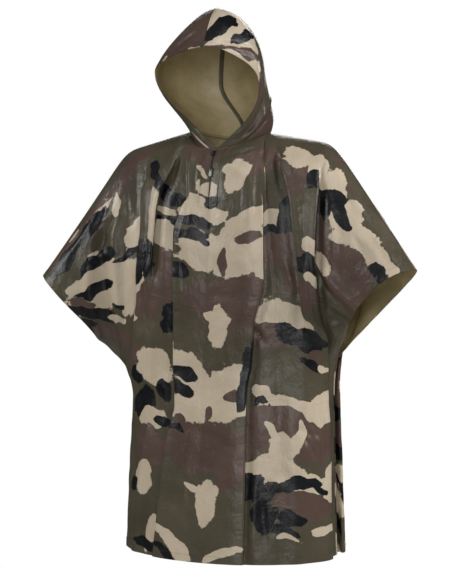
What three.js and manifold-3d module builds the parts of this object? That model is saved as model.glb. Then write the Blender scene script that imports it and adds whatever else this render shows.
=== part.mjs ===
// Hooded rain poncho, worn pose with nobody in it. Millimetres, +Z up, front faces -Y.
// The origin is level with the neck, on the line between the shoulders.
import * as THREE from 'three';
import Module from 'manifold-3d';

// Cloth and gaps
const CLOTH = 1.2;             // wall of the coated cloth
const STRIP = 1.0;             // wall of strips and tapes
const SEAM_GAP = 0.3;          // space between two sewn pieces
const PANEL_PARTING = 0.24;    // each panel stands this far off a seam between front and back
const HOOD_PARTING = 0.18;     // each hood half stands this far off the middle seam
const QUARTER_TURN = Math.PI / 2;

// Neckline, an ellipse seen from above
const NECK = { halfWidth: 100, halfDepth: 90, middleY: -10, frontZ: -20, backZ: 30, dipPower: 1.3 };
const NECK_COLUMN = 0.45;      // share of the panel's half width that the neckline takes
const ZIP_SLIT_COLUMN = 0.009; // half width of the slit, as a share of the panel
const ZIP_SLIT_END = 0.26;     // share of the way from neck to underarm
const HEM_Z = -1047;
const HEM_SIDE_RISE = 4;         // the hem is this much higher at its sides
const UNDERARM_MIDDLE_Z = -575;

// One row for each side: the ridge over shoulder and arm, the sleeve's tip and the underarm
const SIDES = {
  left: { sign: -1, neckZ: 40, shoulderFall: 0.226, sleeveFall: 1.55, tipX: 508, tipY: -98, tipZ: -336,
    underarmZ: -603, frontPower: 0.74, backPower: 0.9 },
  right: { sign: 1, neckZ: 26, shoulderFall: 0.19, sleeveFall: 1.33, tipX: 519, tipY: -98, tipZ: -327,
    underarmZ: -548, frontPower: 0.64, backPower: 0.76 },
};
const RIDGE_ROUNDING = 14;       // how softly the shoulder turns down into the sleeve
const RIDGE_CROWDING = 0.25;     // columns lie closer together towards the sleeve's tip
const SLEEVE_FROM_X = 250;       // from here out the ridge comes forward
const SLEEVE_FORWARD_POWER = 1.3;

// Sections of the body from the underarm down: share of the drop, half width, depths
const BODY_SECTIONS = [
  { down: 0.0, leftX: 288, rightX: 284, front: 155, back: 122 },
  { down: 0.13, leftX: 263, rightX: 277, front: 163, back: 120 },
  { down: 0.5, leftX: 261, rightX: 279, front: 182, back: 136 },
  { down: 1.0, leftX: 265, rightX: 283, front: 211, back: 176 },
];
const SECTION_FULLNESS = 0.8;  // under 1 gives a flatter front than an ellipse

// How far each face swells out between ridge and underarm, by share of the half width
const SWELL = [
  { column: 0.0, front: 31, back: 38 },
  { column: 0.45, front: 86, back: 88 },
  { column: 0.62, front: 76, back: 80 },
  { column: 0.82, front: 72, back: 94 },
  { column: 1.0, front: 71, back: 114 },
];

// Folds where the cloth laps over itself. Columns are signed shares of the half width, rows run
// 0 at neck and ridge, 1 at the underarm, 2 at the hem. lapTo is the side that lies on top.
const FRONT_LAPS = [
  { name: 'armpit_left', path: [[0, -0.6], [0.43, -0.6], [0.7, -0.64], [1, -0.7], [1.3, -0.8], [2, -0.88]],
    from: 0.1, to: 2.3, height: 15, tuck: 6, lapTo: 1 },
  { name: 'yoke_left', path: [[0, -0.476], [1, -0.47]], from: 0.0, to: 0.7, height: 11, tuck: 6, lapTo: -1 },
  { name: 'pleat_left', path: [[0.2, -0.13], [0.4, -0.21], [1.2, -0.2], [1.4, -0.27], [2, -0.32]],
    from: 0.14, to: 2.4, height: 9, tuck: 6, lapTo: 1 },
  { name: 'pleat_right', path: [[0.25, 0.4], [0.64, 0.36], [0.82, 0.275], [1.1, 0.232], [2, 0.25]],
    from: 0.16, to: 2.4, height: 9, tuck: 6, lapTo: -1 },
  { name: 'yoke_right', path: [[0, 0.494], [0.33, 0.57], [0.7, 0.62], [1, 0.64]],
    from: 0.0, to: 0.9, height: 11, tuck: 6, lapTo: 1 },
  { name: 'armpit_right', path: [[0, 0.66], [0.47, 0.69], [0.71, 0.735], [0.86, 0.8], [1.2, 0.86], [2, 0.9]],
    from: 0.05, to: 2.3, height: 16, tuck: 6, lapTo: -1 },
];
const BACK_LAPS = [
  { name: 'armpit_left', path: [[0, -0.62], [0.6, -0.68], [1.2, -0.82], [2, -0.88]],
    from: 0.12, to: 2.3, height: 13, tuck: 6, lapTo: 1 },
  { name: 'pleat_left', path: [[0.1, -0.3], [0.8, -0.27], [2, -0.34]], from: 0.3, to: 2.4, height: 9, tuck: 6,
    lapTo: 1 },
  { name: 'pleat_right', path: [[0.1, 0.24], [0.9, 0.3], [2, 0.33]], from: 0.22, to: 2.4, height: 9, tuck: 6,
    lapTo: -1 },
  { name: 'armpit_right', path: [[0, 0.64], [0.5, 0.7], [1.2, 0.84], [2, 0.9]],
    from: 0.1, to: 2.3, height: 14, tuck: 6, lapTo: -1 },
];
const LAP_WIDTH = 11;          // cloth taken up by one lap, across it
const LAP_FADE = 70;           // how far the raised side runs before it lies flat again
const LAP_ENDS = 0.16;         // share of a row over which a lap starts and ends
const SLIP_FROM = 0.5;         // a lap slips sideways once it has risen to this share of its height

// Soft ridges and troughs that don't lap, each from one point of the panel to another
const FRONT_WAVES = [
  { from: [-0.68, 0.03], to: [-0.74, 0.7], width: 24, height: 11 },
  { from: [-0.72, 0.02], to: [-0.86, 0.8], width: 26, height: -9 },
  { from: [-0.76, 0.04], to: [-0.97, 0.62], width: 24, height: 10 },
  { from: [0.72, 0.08], to: [0.8, 0.45], width: 26, height: 9 },
  { from: [0.74, 0.56], to: [1.02, 0.4], width: 30, height: 12 },
  { from: [0.78, 0.72], to: [1.02, 0.62], width: 30, height: -12 },
  { from: [-0.45, 1.2], to: [-0.55, 2.0], width: 40, height: 8 },
  { from: [0.55, 1.1], to: [0.6, 2.0], width: 42, height: 9 },
];
const BACK_WAVES = [
  { from: [-0.7, 0.05], to: [-0.9, 0.75], width: 26, height: 10 },
  { from: [0.7, 0.04], to: [0.88, 0.8], width: 26, height: 10 },
  { from: [-0.05, 0.5], to: [0.02, 2.0], width: 46, height: -9 },
  { from: [-0.58, 1.1], to: [-0.6, 2.0], width: 44, height: 8 },
  { from: [0.58, 1.2], to: [0.62, 2.0], width: 44, height: -8 },
];
const FLAT_HALF_WIDTH = 640;   // the panel laid flat, from its middle to a sleeve's tip
const FLAT_UPPER = 560;        // neck to underarm, laid flat

// Grid of a panel
const UPPER_ROWS = 14;
const LOWER_ROWS = 7;
const UPPER_ROW_POWER = 1.61;   // closer rows where the cloth bends over the ridge
const COLUMN_SPACING = { front: 0.068, back: 0.075, placket: 0.042 }; // shares of the half width
const FEWEST_COLUMNS = 3;
const LAP_STEPS = [-1, -0.5, 0, 0.5, 1];

// Hood: one row for each arch from the face edge to the back seam
const HOOD_ARCHES = [
  { name: 'face', foot: -90, halfWidth: 131, sideY: -92, leftZ: 178, rightZ: 145, topY: -150, topZ: 242 },
  { name: 'temple', foot: -58, halfWidth: 137, sideY: -58, leftZ: 168, rightZ: 150, topY: -118, topZ: 297 },
  { name: 'ear', foot: -15, halfWidth: 138, sideY: -2, leftZ: 155, rightZ: 150, topY: -70, topZ: 332 },
  { name: 'behind', foot: 28, halfWidth: 116, sideY: 62, leftZ: 150, rightZ: 150, topY: -40, topZ: 342 },
  { name: 'nape_side', foot: 62, halfWidth: 66, sideY: 100, leftZ: 150, rightZ: 150, topY: -22, topZ: 344 },
  { name: 'back', foot: 90, halfWidth: 0, sideY: 116, leftZ: 150, rightZ: 150, topY: -10, topZ: 343 },
];
const HOOD_COLUMNS = 18;
const HOOD_ROWS = 22;
const HOOD_TURN = 14;          // degrees that the hood looks to the garment's left
const HOOD_SHIFT = { x: -35, y: -42 };
const HOOD_TURN_FROM = 30;     // heights between which turn and shift come in
const HOOD_TURN_TO = 170;
const HOOD_LEAN = { x: 20, from: 180, to: 350 }; // the crown stands off to one side
const HOOD_FOOT_RISE = 2.3;
const HOOD_SIDE_POWER = { left: 1.25, right: 1 }; // over 1 gives a flatter side above the brow
const HOOD_CROWN_ROUNDING = 6; // higher keeps the flatter side closer to the crown
const HOOD_LOWEST_BULGE = 0.36; // share of an arch's length at its widest point
const HOOD_MIDDLE = { y: -10, z: 150 };
const SEAM_TAPE = { width: 12, steps: 36, end: 1.92, ease: 0.4, crownEnd: 0.8, backStart: 1.25 };

// Neck closure
const PLACKET = { inner: 2.8, outer: 26, topRow: 0.005, endRow: 0.27 };
const ZIP_TAPE = { inner: 0.6, outer: 13, topRow: 0.005, endRow: 0.266 };
const STRIP_EASE = 0.15;
const STRIP_LIFT = CLOTH / 2 + SEAM_GAP + STRIP / 2 + STRIP_EASE;
const SLIDER_ROW = 0.1;
const SLIDER = { width: 8, length: 11, thick: 2.6 };
const SEAT_EASE = 0.8;           // the placket bends under the slider's flat back
const SLIDER_LIFT = STRIP_LIFT + STRIP / 2 + SEAM_GAP + SEAT_EASE;
const SEAT_REACH = 0.012;      // share of a row over which a seat's slope is taken
const BAIL = { width: 2.2, wire: 1.0, tunnel: 4.6, rise: 2.7, height: 0.5 };
const PULL = { width: 6.6, length: 18, thick: 1.3, bar: 1.4, window: 3.9, leg: 1.3, corner: 1.4 };
const SNAP = { radius: 7.8, height: 2.6, row: 0.024, sides: 24, lift: STRIP_LIFT + 2 };

// Colours of the cloth and the metal
const COLOURS = { cloth: 0x5c5242, tape: 0x4a4436, slider: 0x33352f, pull: 0xc4cdc0, snap: 0x3b3d3e };

function clamp(value, low, high) {
  return Math.min(high, Math.max(low, value));
}

function mix(a, b, share) {
  return a + (b - a) * share;
}

function smoothStep(low, high, value) {
  const s = clamp((value - low) / (high - low), 0, 1);
  return s * s * (3 - 2 * s);
}

// A smooth curve through one column of a table, by another column that rises
function tableCurve(rows, key, column, at) {
  let i = 0;
  while (i < rows.length - 2 && at > rows[i + 1][key]) i += 1;
  const p0 = rows[Math.max(i - 1, 0)];
  const p1 = rows[i];
  const p2 = rows[i + 1];
  const p3 = rows[Math.min(i + 2, rows.length - 1)];
  const span = p2[key] - p1[key];
  const s = clamp((at - p1[key]) / span, 0, 1);
  const slopeIn = ((p2[column] - p0[column]) / (p2[key] - p0[key])) * span;
  const slopeOut = ((p3[column] - p1[column]) / (p3[key] - p1[key])) * span;
  const s2 = s * s;
  const s3 = s2 * s;
  return (2 * s3 - 3 * s2 + 1) * p1[column] + (s3 - 2 * s2 + s) * slopeIn
    + (3 * s2 - 2 * s3) * p2[column] + (s3 - s2) * slopeOut;
}

// Straight pieces through [row, column] pairs
function pathColumn(path, row) {
  let i = 0;
  while (i < path.length - 2 && row > path[i + 1][0]) i += 1;
  const share = clamp((row - path[i][0]) / (path[i + 1][0] - path[i][0]), 0, 1);
  return mix(path[i][1], path[i + 1][1], smoothStep(0, 1, share) * 0.5 + share * 0.5);
}

function sideOf(column) {
  return column < 0 ? SIDES.left : SIDES.right;
}

// Upper edge of a panel: the neckline in the middle, then the ridge over shoulder and arm
function upperEdge(face, column) {
  const side = sideOf(column);
  const share = Math.abs(column);
  if (share <= NECK_COLUMN) {
    const turn = (share / NECK_COLUMN) * QUARTER_TURN;
    const endZ = face < 0 ? NECK.frontZ : NECK.backZ;
    return new THREE.Vector3(
      side.sign * NECK.halfWidth * Math.sin(turn),
      NECK.middleY + face * NECK.halfDepth * Math.cos(turn),
      mix(side.neckZ, endZ, Math.cos(turn) ** NECK.dipPower),
    );
  }
  const along = (share - NECK_COLUMN) / (1 - NECK_COLUMN);
  const spread = along + RIDGE_CROWDING * (along - along * along);
  const x = mix(NECK.halfWidth, side.tipX, spread);
  const onShoulder = side.neckZ - side.shoulderFall * (x - NECK.halfWidth);
  const onSleeve = side.tipZ + side.sleeveFall * (side.tipX - x);
  const k = RIDGE_ROUNDING;
  const z = -k * Math.log(Math.exp(-onShoulder / k) + Math.exp(-onSleeve / k));
  const outOnSleeve = clamp((x - SLEEVE_FROM_X) / (side.tipX - SLEEVE_FROM_X), 0, 1);
  const y = mix(NECK.middleY, side.tipY, outOnSleeve ** SLEEVE_FORWARD_POWER);
  return new THREE.Vector3(side.sign * x, y, z);
}

// Point of the body below the underarm, down from 0 to 1
function bodyPoint(face, column, down) {
  const side = sideOf(column);
  const turn = Math.abs(column) * QUARTER_TURN;
  const halfWidth = tableCurve(BODY_SECTIONS, 'down', side.sign < 0 ? 'leftX' : 'rightX', down);
  const depth = tableCurve(BODY_SECTIONS, 'down', face < 0 ? 'front' : 'back', down);
  const topZ = mix(UNDERARM_MIDDLE_Z, side.underarmZ, smoothStep(0.1, 1, Math.abs(column)));
  return new THREE.Vector3(
    side.sign * halfWidth * Math.sin(turn),
    face * depth * Math.max(Math.cos(turn), 0) ** SECTION_FULLNESS,
    mix(topZ, HEM_Z + HEM_SIDE_RISE * Math.abs(column), down),
  );
}

// The cloth's form without its folds. row: 0 upper edge, 1 underarm, 2 hem
function plainPoint(face, column, row) {
  if (row >= 1) return bodyPoint(face, column, row - 1);
  const side = sideOf(column);
  const share = Math.abs(column);
  const top = upperEdge(face, column);
  const low = bodyPoint(face, column, 0);
  const edgePower = face < 0 ? side.frontPower : side.backPower;
  const power = mix(0.5, edgePower, smoothStep(NECK_COLUMN, 1, share));
  const safeRow = Math.max(row, 0);
  const swell = tableCurve(SWELL, 'column', face < 0 ? 'front' : 'back', share);
  return new THREE.Vector3(
    mix(top.x, low.x, safeRow ** power),
    mix(top.y, low.y, safeRow) + face * swell * Math.sin(Math.PI * Math.sqrt(safeRow)),
    mix(top.z, low.z, safeRow),
  );
}

function waveHeight(waves, column, row) {
  let height = 0;
  const x = column * FLAT_HALF_WIDTH;
  const z = row * FLAT_UPPER;
  for (const wave of waves) {
    const ax = wave.from[0] * FLAT_HALF_WIDTH;
    const az = wave.from[1] * FLAT_UPPER;
    const bx = wave.to[0] * FLAT_HALF_WIDTH;
    const bz = wave.to[1] * FLAT_UPPER;
    const length2 = (bx - ax) ** 2 + (bz - az) ** 2;
    const share = ((x - ax) * (bx - ax) + (z - az) * (bz - az)) / length2;
    const near = clamp(share, 0, 1);
    const away = Math.hypot(x - mix(ax, bx, near), z - mix(az, bz, near));
    height += wave.height * Math.exp(-((away / wave.width) ** 2)) * smoothStep(-0.05, 0.3, share);
  }
  return height;
}

function lapStrength(lap, row) {
  return smoothStep(lap.from, lap.from + LAP_ENDS, row) * (1 - smoothStep(lap.to - LAP_ENDS, lap.to, row));
}

// Directions of the plain form: across the panel and out of the cloth
function plainFrame(face, column, row) {
  const step = 0.004;
  const c0 = clamp(column - step, -1, 1);
  const c1 = clamp(column + step, -1, 1);
  const r0 = clamp(row - step, 0.001, 2);
  const r1 = clamp(row + step, 0.001, 2);
  const acrossStep = plainPoint(face, c1, row).sub(plainPoint(face, c0, row));
  const perColumn = acrossStep.length() / (c1 - c0);
  const across = acrossStep.normalize();
  const down = plainPoint(face, column, r1).sub(plainPoint(face, column, r0)).normalize();
  const out = new THREE.Vector3().crossVectors(down, across).normalize();
  if (face > 0) out.negate();
  return { across, down, out, perColumn };
}

// The cloth with laps and waves, moved out by `lift` millimetres
function clothPoint(face, column, row, lift = 0) {
  const laps = face < 0 ? FRONT_LAPS : BACK_LAPS;
  const waves = face < 0 ? FRONT_WAVES : BACK_WAVES;
  const { across, out, perColumn } = plainFrame(face, column, row);
  let raise = waveHeight(waves, column, row) * smoothStep(0, 0.06, row);
  let slide = 0;
  for (const lap of laps) {
    const strength = lapStrength(lap, row);
    if (strength > 0) {
      const away = (column - pathColumn(lap.path, row)) * perColumn * lap.lapTo;
      const inLap = clamp(away / LAP_WIDTH, -1, 1);
      const fade = Math.exp(-((Math.max(away - LAP_WIDTH, 0) / LAP_FADE) ** 2));
      raise += lap.height * strength * (0.5 + 0.5 * Math.sin(inLap * QUARTER_TURN)) * fade;
      const slip = smoothStep(SLIP_FROM, 1, strength);
      slide -= (lap.tuck + LAP_WIDTH / 2) * slip * lap.lapTo * Math.sin(inLap * Math.PI);
    }
  }
  return plainPoint(face, column, row).addScaledVector(across, slide).addScaledVector(out, raise + lift);
}

// Edges that only one quad uses
function rimEdges(quads) {
  const seen = new Map();
  for (const [a, b, c, d] of quads) {
    for (const [from, to] of [[a, b], [b, c], [c, d], [d, a]]) seen.set(`${from},${to}`, [from, to]);
  }
  return [...seen.values()].filter(([from, to]) => !seen.has(`${to},${from}`));
}

// Closes a grid of points into a wall: outer and inner skin and the rim between them.
// atSeam(i, j) names the axis that a seam's edge doesn't lean along, so two pieces stay parallel
function wallGeometry(points, keep, thick, flip, atSeam = () => null) {
  const rows = points.length;
  const columns = points[0].length;
  const quads = [];
  for (let i = 0; i < rows - 1; i += 1) {
    for (let j = 0; j < columns - 1; j += 1) {
      const corner = i * columns + j;
      const quad = [corner, corner + columns, corner + columns + 1, corner + 1];
      if (keep(i, j)) quads.push(flip ? quad.reverse() : quad);
    }
  }
  const flat = points.flat();
  const normals = flat.map(() => new THREE.Vector3());
  for (const quad of quads) {
    const [a, b, c, d] = quad.map((index) => flat[index]);
    const normal = new THREE.Vector3().crossVectors(
      new THREE.Vector3().subVectors(c, a), new THREE.Vector3().subVectors(d, b));
    for (const index of quad) normals[index].add(normal.clone().normalize());
  }
  normals.forEach((normal, index) => {
    const axis = atSeam(Math.floor(index / columns), index % columns);
    if (axis) normal[axis] = 0;
  });
  const used = [...new Set(quads.flat())].sort((a, b) => a - b);
  const place = new Map(used.map((index, k) => [index, k]));
  const positions = [];
  for (const side of [0.5, -0.5]) {
    for (const index of used) {
      const n = normals[index].normalize();
      const p = flat[index];
      positions.push(p.x + n.x * thick * side, p.y + n.y * thick * side, p.z + n.z * thick * side);
    }
  }
  const faces = [];
  const inner = used.length;
  for (const quad of quads) {
    const [a, b, c, d] = quad.map((index) => place.get(index));
    faces.push(a, b, c, a, c, d);
    faces.push(inner + a, inner + c, inner + b, inner + a, inner + d, inner + c);
  }
  for (const [from, to] of rimEdges(quads)) {
    const a = place.get(from);
    const b = place.get(to);
    faces.push(b, a, inner + a, b, inner + a, inner + b);
  }
  const geometry = new THREE.BufferGeometry();
  geometry.setAttribute('position', new THREE.Float32BufferAttribute(positions, 3));
  geometry.setIndex(faces);
  geometry.computeVertexNormals();
  return geometry;
}

function cloth(colour) {
  return new THREE.MeshStandardMaterial({ color: colour, roughness: 0.42, metalness: 0 });
}

function metal(colour) {
  return new THREE.MeshStandardMaterial({ color: colour, roughness: 0.35, metalness: 0.9 });
}

function addMesh(group, name, geometry, material) {
  const mesh = new THREE.Mesh(geometry, material);
  mesh.name = name;
  group.add(mesh);
  return mesh;
}

function panelRows() {
  const rows = [];
  for (let i = 0; i <= UPPER_ROWS; i += 1) rows.push((i / UPPER_ROWS) ** UPPER_ROW_POWER);
  for (let i = 1; i <= LOWER_ROWS; i += 1) rows.push(1 + i / LOWER_ROWS);
  return rows;
}

// Laps and the zip's slit in order across one row, with the half width of each
function columnMarks(face, row) {
  const laps = face < 0 ? FRONT_LAPS : BACK_LAPS;
  const marks = laps.map((lap) => {
    const at = pathColumn(lap.path, row);
    return { at, steps: LAP_STEPS, half: LAP_WIDTH / plainFrame(face, at, row).perColumn };
  });
  if (face < 0) marks.push({ at: 0, steps: [-1, 1], half: ZIP_SLIT_COLUMN });
  return marks.sort((a, b) => a.at - b.at);
}

// Number of plain columns in each space between marks, the same in every row
function plainCounts(face) {
  const spaces = panelRows().map((row) => {
    const marks = columnMarks(face, row);
    const ends = [{ at: -1, half: 0 }, ...marks, { at: 1, half: 0 }];
    return ends.slice(1).map((mark, k) => mark.at - mark.half - ends[k].at - ends[k].half);
  });
  const slit = columnMarks(face, 0).findIndex((mark) => mark.at === 0);
  return spaces[0].map((_, k) => {
    const widest = Math.max(...spaces.map((space) => space[k]));
    const nextToSlit = face < 0 && (k === slit || k === slit + 1);
    const spacing = nextToSlit ? COLUMN_SPACING.placket : COLUMN_SPACING[face < 0 ? 'front' : 'back'];
    return Math.max(FEWEST_COLUMNS, Math.ceil(widest / spacing));
  });
}

// Columns of one row: five at each lap, evenly spaced ones between, and two at the zip's slit
function panelColumns(face, row) {
  const counts = PLAIN_COUNTS[face];
  const columns = [];
  let last = -1;
  const fill = (to, count) => {
    for (let k = 0; k < count; k += 1) columns.push(mix(last, to, k / count));
  };
  columnMarks(face, row).forEach((mark, index) => {
    fill(mark.at - mark.half, counts[index]);
    for (const step of mark.steps) {
      if (step < 1) columns.push(mark.at + mark.half * step);
    }
    last = mark.at + mark.half;
  });
  fill(1, counts[counts.length - 1]);
  columns.push(1);
  return columns;
}

function panelGeometry(face) {
  const rows = panelRows();
  const points = rows.map((row) => {
    return panelColumns(face, row).map((column) => {
      const point = clothPoint(face, column, row);
      const seam = column === 1 || column === -1 || row === 0;
      if (seam) point.y += face * PANEL_PARTING;
      return point;
    });
  });
  const keep = (i, j) => {
    if (face > 0 || rows[i + 1] > ZIP_SLIT_END) return true;
    const columns = panelColumns(face, rows[i]);
    return Math.abs(columns[j] + columns[j + 1]) > 1e-6;
  };
  const lastColumn = points[0].length - 1;
  const atSeam = (i, j) => {
    const onSide = (j === 0 || j === lastColumn) && rows[i] >= 1;
    const onRidge = i === 0 && Math.abs(panelColumns(face, 0)[j]) > NECK_COLUMN;
    return onSide || onRidge ? 'y' : null;
  };
  return wallGeometry(points, keep, CLOTH, face > 0, atSeam);
}

// Point of the front's own mesh `lift` millimetres out: straight between the panel's rows
function frontMeshPoint(column, row, lift) {
  const rows = panelRows();
  let i = 0;
  while (i < rows.length - 2 && row >= rows[i + 1]) i += 1;
  const lifted = (index) => {
    const above = clothPoint(-1, column, rows[Math.max(index - 1, 0)]);
    const below = clothPoint(-1, column, rows[index + 1]);
    const { across } = plainFrame(-1, column, rows[index]);
    const out = new THREE.Vector3().crossVectors(below.sub(above), across).normalize();
    return clothPoint(-1, column, rows[index]).addScaledVector(out, lift);
  };
  return lifted(i).lerp(lifted(i + 1), (row - rows[i]) / (rows[i + 1] - rows[i]));
}

// A strip that lies on the front, from its points moved out or in
function stripGeometry(sign, size, lift) {
  const between = panelRows().filter((row) => row > size.topRow && row < size.endRow);
  const points = [size.topRow, ...between, size.endRow].map((row) => {
    const perColumn = plainFrame(-1, 0, row).perColumn;
    const line = [];
    for (let k = 0; k <= 3; k += 1) {
      const across = sign * mix(size.inner, size.outer, k / 3);
      line.push(frontMeshPoint(across / perColumn, row, lift));
    }
    return sign < 0 ? line.reverse() : line;
  });
  return wallGeometry(points, () => true, STRIP, false);
}

function turnHood(point) {
  const amount = smoothStep(HOOD_TURN_FROM, HOOD_TURN_TO, point.z);
  const angle = THREE.MathUtils.degToRad(HOOD_TURN) * amount;
  const dy = point.y - NECK.middleY;
  const lean = HOOD_LEAN.x * smoothStep(HOOD_LEAN.from, HOOD_LEAN.to, point.z);
  return new THREE.Vector3(
    point.x * Math.cos(angle) - dy * Math.sin(angle) + HOOD_SHIFT.x * amount + lean,
    NECK.middleY + point.x * Math.sin(angle) + dy * Math.cos(angle) + HOOD_SHIFT.y * amount,
    point.z,
  );
}

// Point of a hood half. across: 0 face edge, 1 back seam. up: 0 neckline, 1 crown seam
function hoodPoint(side, across, up) {
  const table = HOOD_ARCHES.map((arch, index) => ({ ...arch, at: index / (HOOD_ARCHES.length - 1) }));
  const value = (column) => tableCurve(table, 'at', column, across);
  const foot = THREE.MathUtils.degToRad(value('foot'));
  const footColumn = NECK_COLUMN * clamp(1 - Math.abs(value('foot')) / 90, 0, 1);
  const base = upperEdge(foot < 0 ? -1 : 1, side.sign * Math.max(footColumn, 1e-6));
  const width = Math.max(value('halfWidth'), 0);
  const sideZ = value(side.sign < 0 ? 'leftZ' : 'rightZ');
  const footX = Math.abs(base.x);
  let x;
  let y;
  let z;
  if (up < HOOD_LOWEST_BULGE) {
    const s = up / HOOD_LOWEST_BULGE;
    x = mix(footX, width, Math.sin(s * QUARTER_TURN));
    y = mix(base.y, value('sideY'), s * s * (3 - 2 * s) * 0.5 + s * 0.5);
    z = mix(base.z + HOOD_FOOT_RISE, sideZ, s);
  } else {
    const turn = ((up - HOOD_LOWEST_BULGE) / (1 - HOOD_LOWEST_BULGE)) * QUARTER_TURN;
    const flatness = side.sign < 0 ? HOOD_SIDE_POWER.left : HOOD_SIDE_POWER.right;
    x = width * Math.cos(turn) ** mix(flatness, 1, Math.sin(turn) ** HOOD_CROWN_ROUNDING);
    z = mix(sideZ, value('topZ'), Math.sin(turn));
    y = mix(value('topY'), value('sideY'), Math.cos(turn));
  }
  return new THREE.Vector3(side.sign * (x + HOOD_PARTING), y, z);
}

function hoodGeometry(side) {
  const points = [];
  for (let i = 0; i <= HOOD_ROWS; i += 1) {
    const line = [];
    for (let j = 0; j <= HOOD_COLUMNS; j += 1) {
      line.push(turnHood(hoodPoint(side, j / HOOD_COLUMNS, i / HOOD_ROWS)));
    }
    points.push(line);
  }
  const atSeam = (i, j) => (i === HOOD_ROWS || j === HOOD_COLUMNS ? 'x' : null);
  return wallGeometry(points, () => true, CLOTH, side.sign > 0, atSeam);
}

// Point of the hood's seam. along: 0 brim, 1 crown's end, 2 nape
function hoodSeamPoint(along) {
  const point = hoodPoint(SIDES.right, Math.min(along, 1), Math.min(2 - along, 1));
  point.x = 0;
  return point;
}

// Unit vector from the hood's seam into the hood
function intoHood(along) {
  const before = hoodSeamPoint(along - 0.02);
  const after = hoodSeamPoint(along + 0.02);
  const inward = new THREE.Vector3(0, after.z - before.z, before.y - after.y).normalize();
  const middle = new THREE.Vector3(0, HOOD_MIDDLE.y, HOOD_MIDDLE.z);
  return inward.dot(middle.sub(before)) < 0 ? inward.negate() : inward;
}

// How far the hood falls in, `reach` millimetres to the side of its seam
function seamDrop(along, reach) {
  const seam = hoodSeamPoint(along);
  const beside = along < 1
    ? hoodPoint(SIDES.right, along, 1 - 1 / HOOD_ROWS)
    : hoodPoint(SIDES.right, 1 - 1 / HOOD_COLUMNS, 2 - along);
  return (beside.clone().sub(seam).dot(intoHood(along)) * reach) / beside.x;
}

// Tape inside the hood, along the seam from the brim over the crown to the nape
function seamTapeGeometry() {
  const inset = CLOTH / 2 + SEAM_GAP + STRIP / 2 + SEAM_TAPE.ease;
  const points = [];
  for (let k = 1; k <= SEAM_TAPE.steps; k += 1) {
    const along = (k / SEAM_TAPE.steps) * SEAM_TAPE.end;
    const inward = intoHood(along);
    points.push([-1, -0.4, 0.4, 1].map((share) => {
      const reach = Math.abs(share) * SEAM_TAPE.width * 0.5;
      const onCrown = seamDrop(Math.min(along, SEAM_TAPE.crownEnd), reach);
      const onBack = seamDrop(Math.max(along, SEAM_TAPE.backStart), reach);
      const drop = mix(onCrown, onBack, smoothStep(SEAM_TAPE.crownEnd, SEAM_TAPE.backStart, along));
      const point = hoodSeamPoint(along).addScaledVector(inward, inset + drop);
      point.x = Math.sign(share) * reach;
      return turnHood(point);
    }));
  }
  return wallGeometry(points, () => true, STRIP, false);
}

// Places a small solid on the placket: x across, -y out of the cloth, z up the cloth
function seatOnFront(geometry, row, lift) {
  const { across } = plainFrame(-1, 0, row);
  const below = frontMeshPoint(0, row + SEAT_REACH, lift);
  const down = below.sub(frontMeshPoint(0, Math.max(row - SEAT_REACH, 0), lift)).normalize();
  const out = new THREE.Vector3().crossVectors(down, across).normalize();
  const place = new THREE.Matrix4().makeBasis(across, out.clone().negate(), down.clone().negate());
  place.setPosition(frontMeshPoint(0, row, lift));
  return geometry.applyMatrix4(place);
}

function manifoldOf(geometry) {
  const plain = geometry.index ? geometry.toNonIndexed() : geometry;
  const count = plain.attributes.position.count;
  const mesh = new wasm.Mesh({
    numProp: 3,
    vertProperties: new Float32Array(plain.attributes.position.array),
    triVerts: Uint32Array.from({ length: count }, (_, k) => k),
  });
  mesh.merge();
  return new wasm.Manifold(mesh);
}

function joined(first, second) {
  const mesh = manifoldOf(first).add(manifoldOf(second)).getMesh();
  const geometry = new THREE.BufferGeometry();
  geometry.setAttribute('position', new THREE.Float32BufferAttribute(mesh.vertProperties, 3));
  geometry.setIndex([...mesh.triVerts]);
  geometry.computeVertexNormals();
  return geometry;
}

function polygon(points) {
  return new THREE.Shape(points.map(([x, y]) => new THREE.Vector2(x, y)));
}

// Slider: a flat body with a loop of wire on its face that carries the pull tab.
// x across, y out of the cloth with the face at -thick, z up
function sliderGeometry() {
  const w = SLIDER.width / 2;
  const l = SLIDER.length / 2;
  const outline = polygon([[-w, l], [-w * 0.62, -l], [w * 0.62, -l], [w, l]]);
  const body = new THREE.ExtrudeGeometry(outline, { depth: SLIDER.thick, bevelEnabled: false });
  body.rotateX(QUARTER_TURN);
  const inner = BAIL.tunnel / 2;
  const outer = inner + BAIL.wire;
  const face = BAIL.rise;
  const top = BAIL.rise + BAIL.wire;
  const sunk = -0.6;
  const loop = polygon([[-outer, sunk], [-outer, face], [-inner, top], [inner, top], [outer, face],
    [outer, sunk], [inner, sunk], [inner, face], [-inner, face], [-inner, sunk]]);
  const wire = new THREE.ExtrudeGeometry(loop, { depth: BAIL.width, bevelEnabled: false });
  wire.translate(0, 0, -BAIL.width / 2);
  wire.applyMatrix4(new THREE.Matrix4().makeBasis(
    new THREE.Vector3(0, 0, 1), new THREE.Vector3(0, -1, 0), new THREE.Vector3(1, 0, 0)));
  wire.translate(0, -SLIDER.thick, BAIL.height);
  return joined(body, wire);
}

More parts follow.
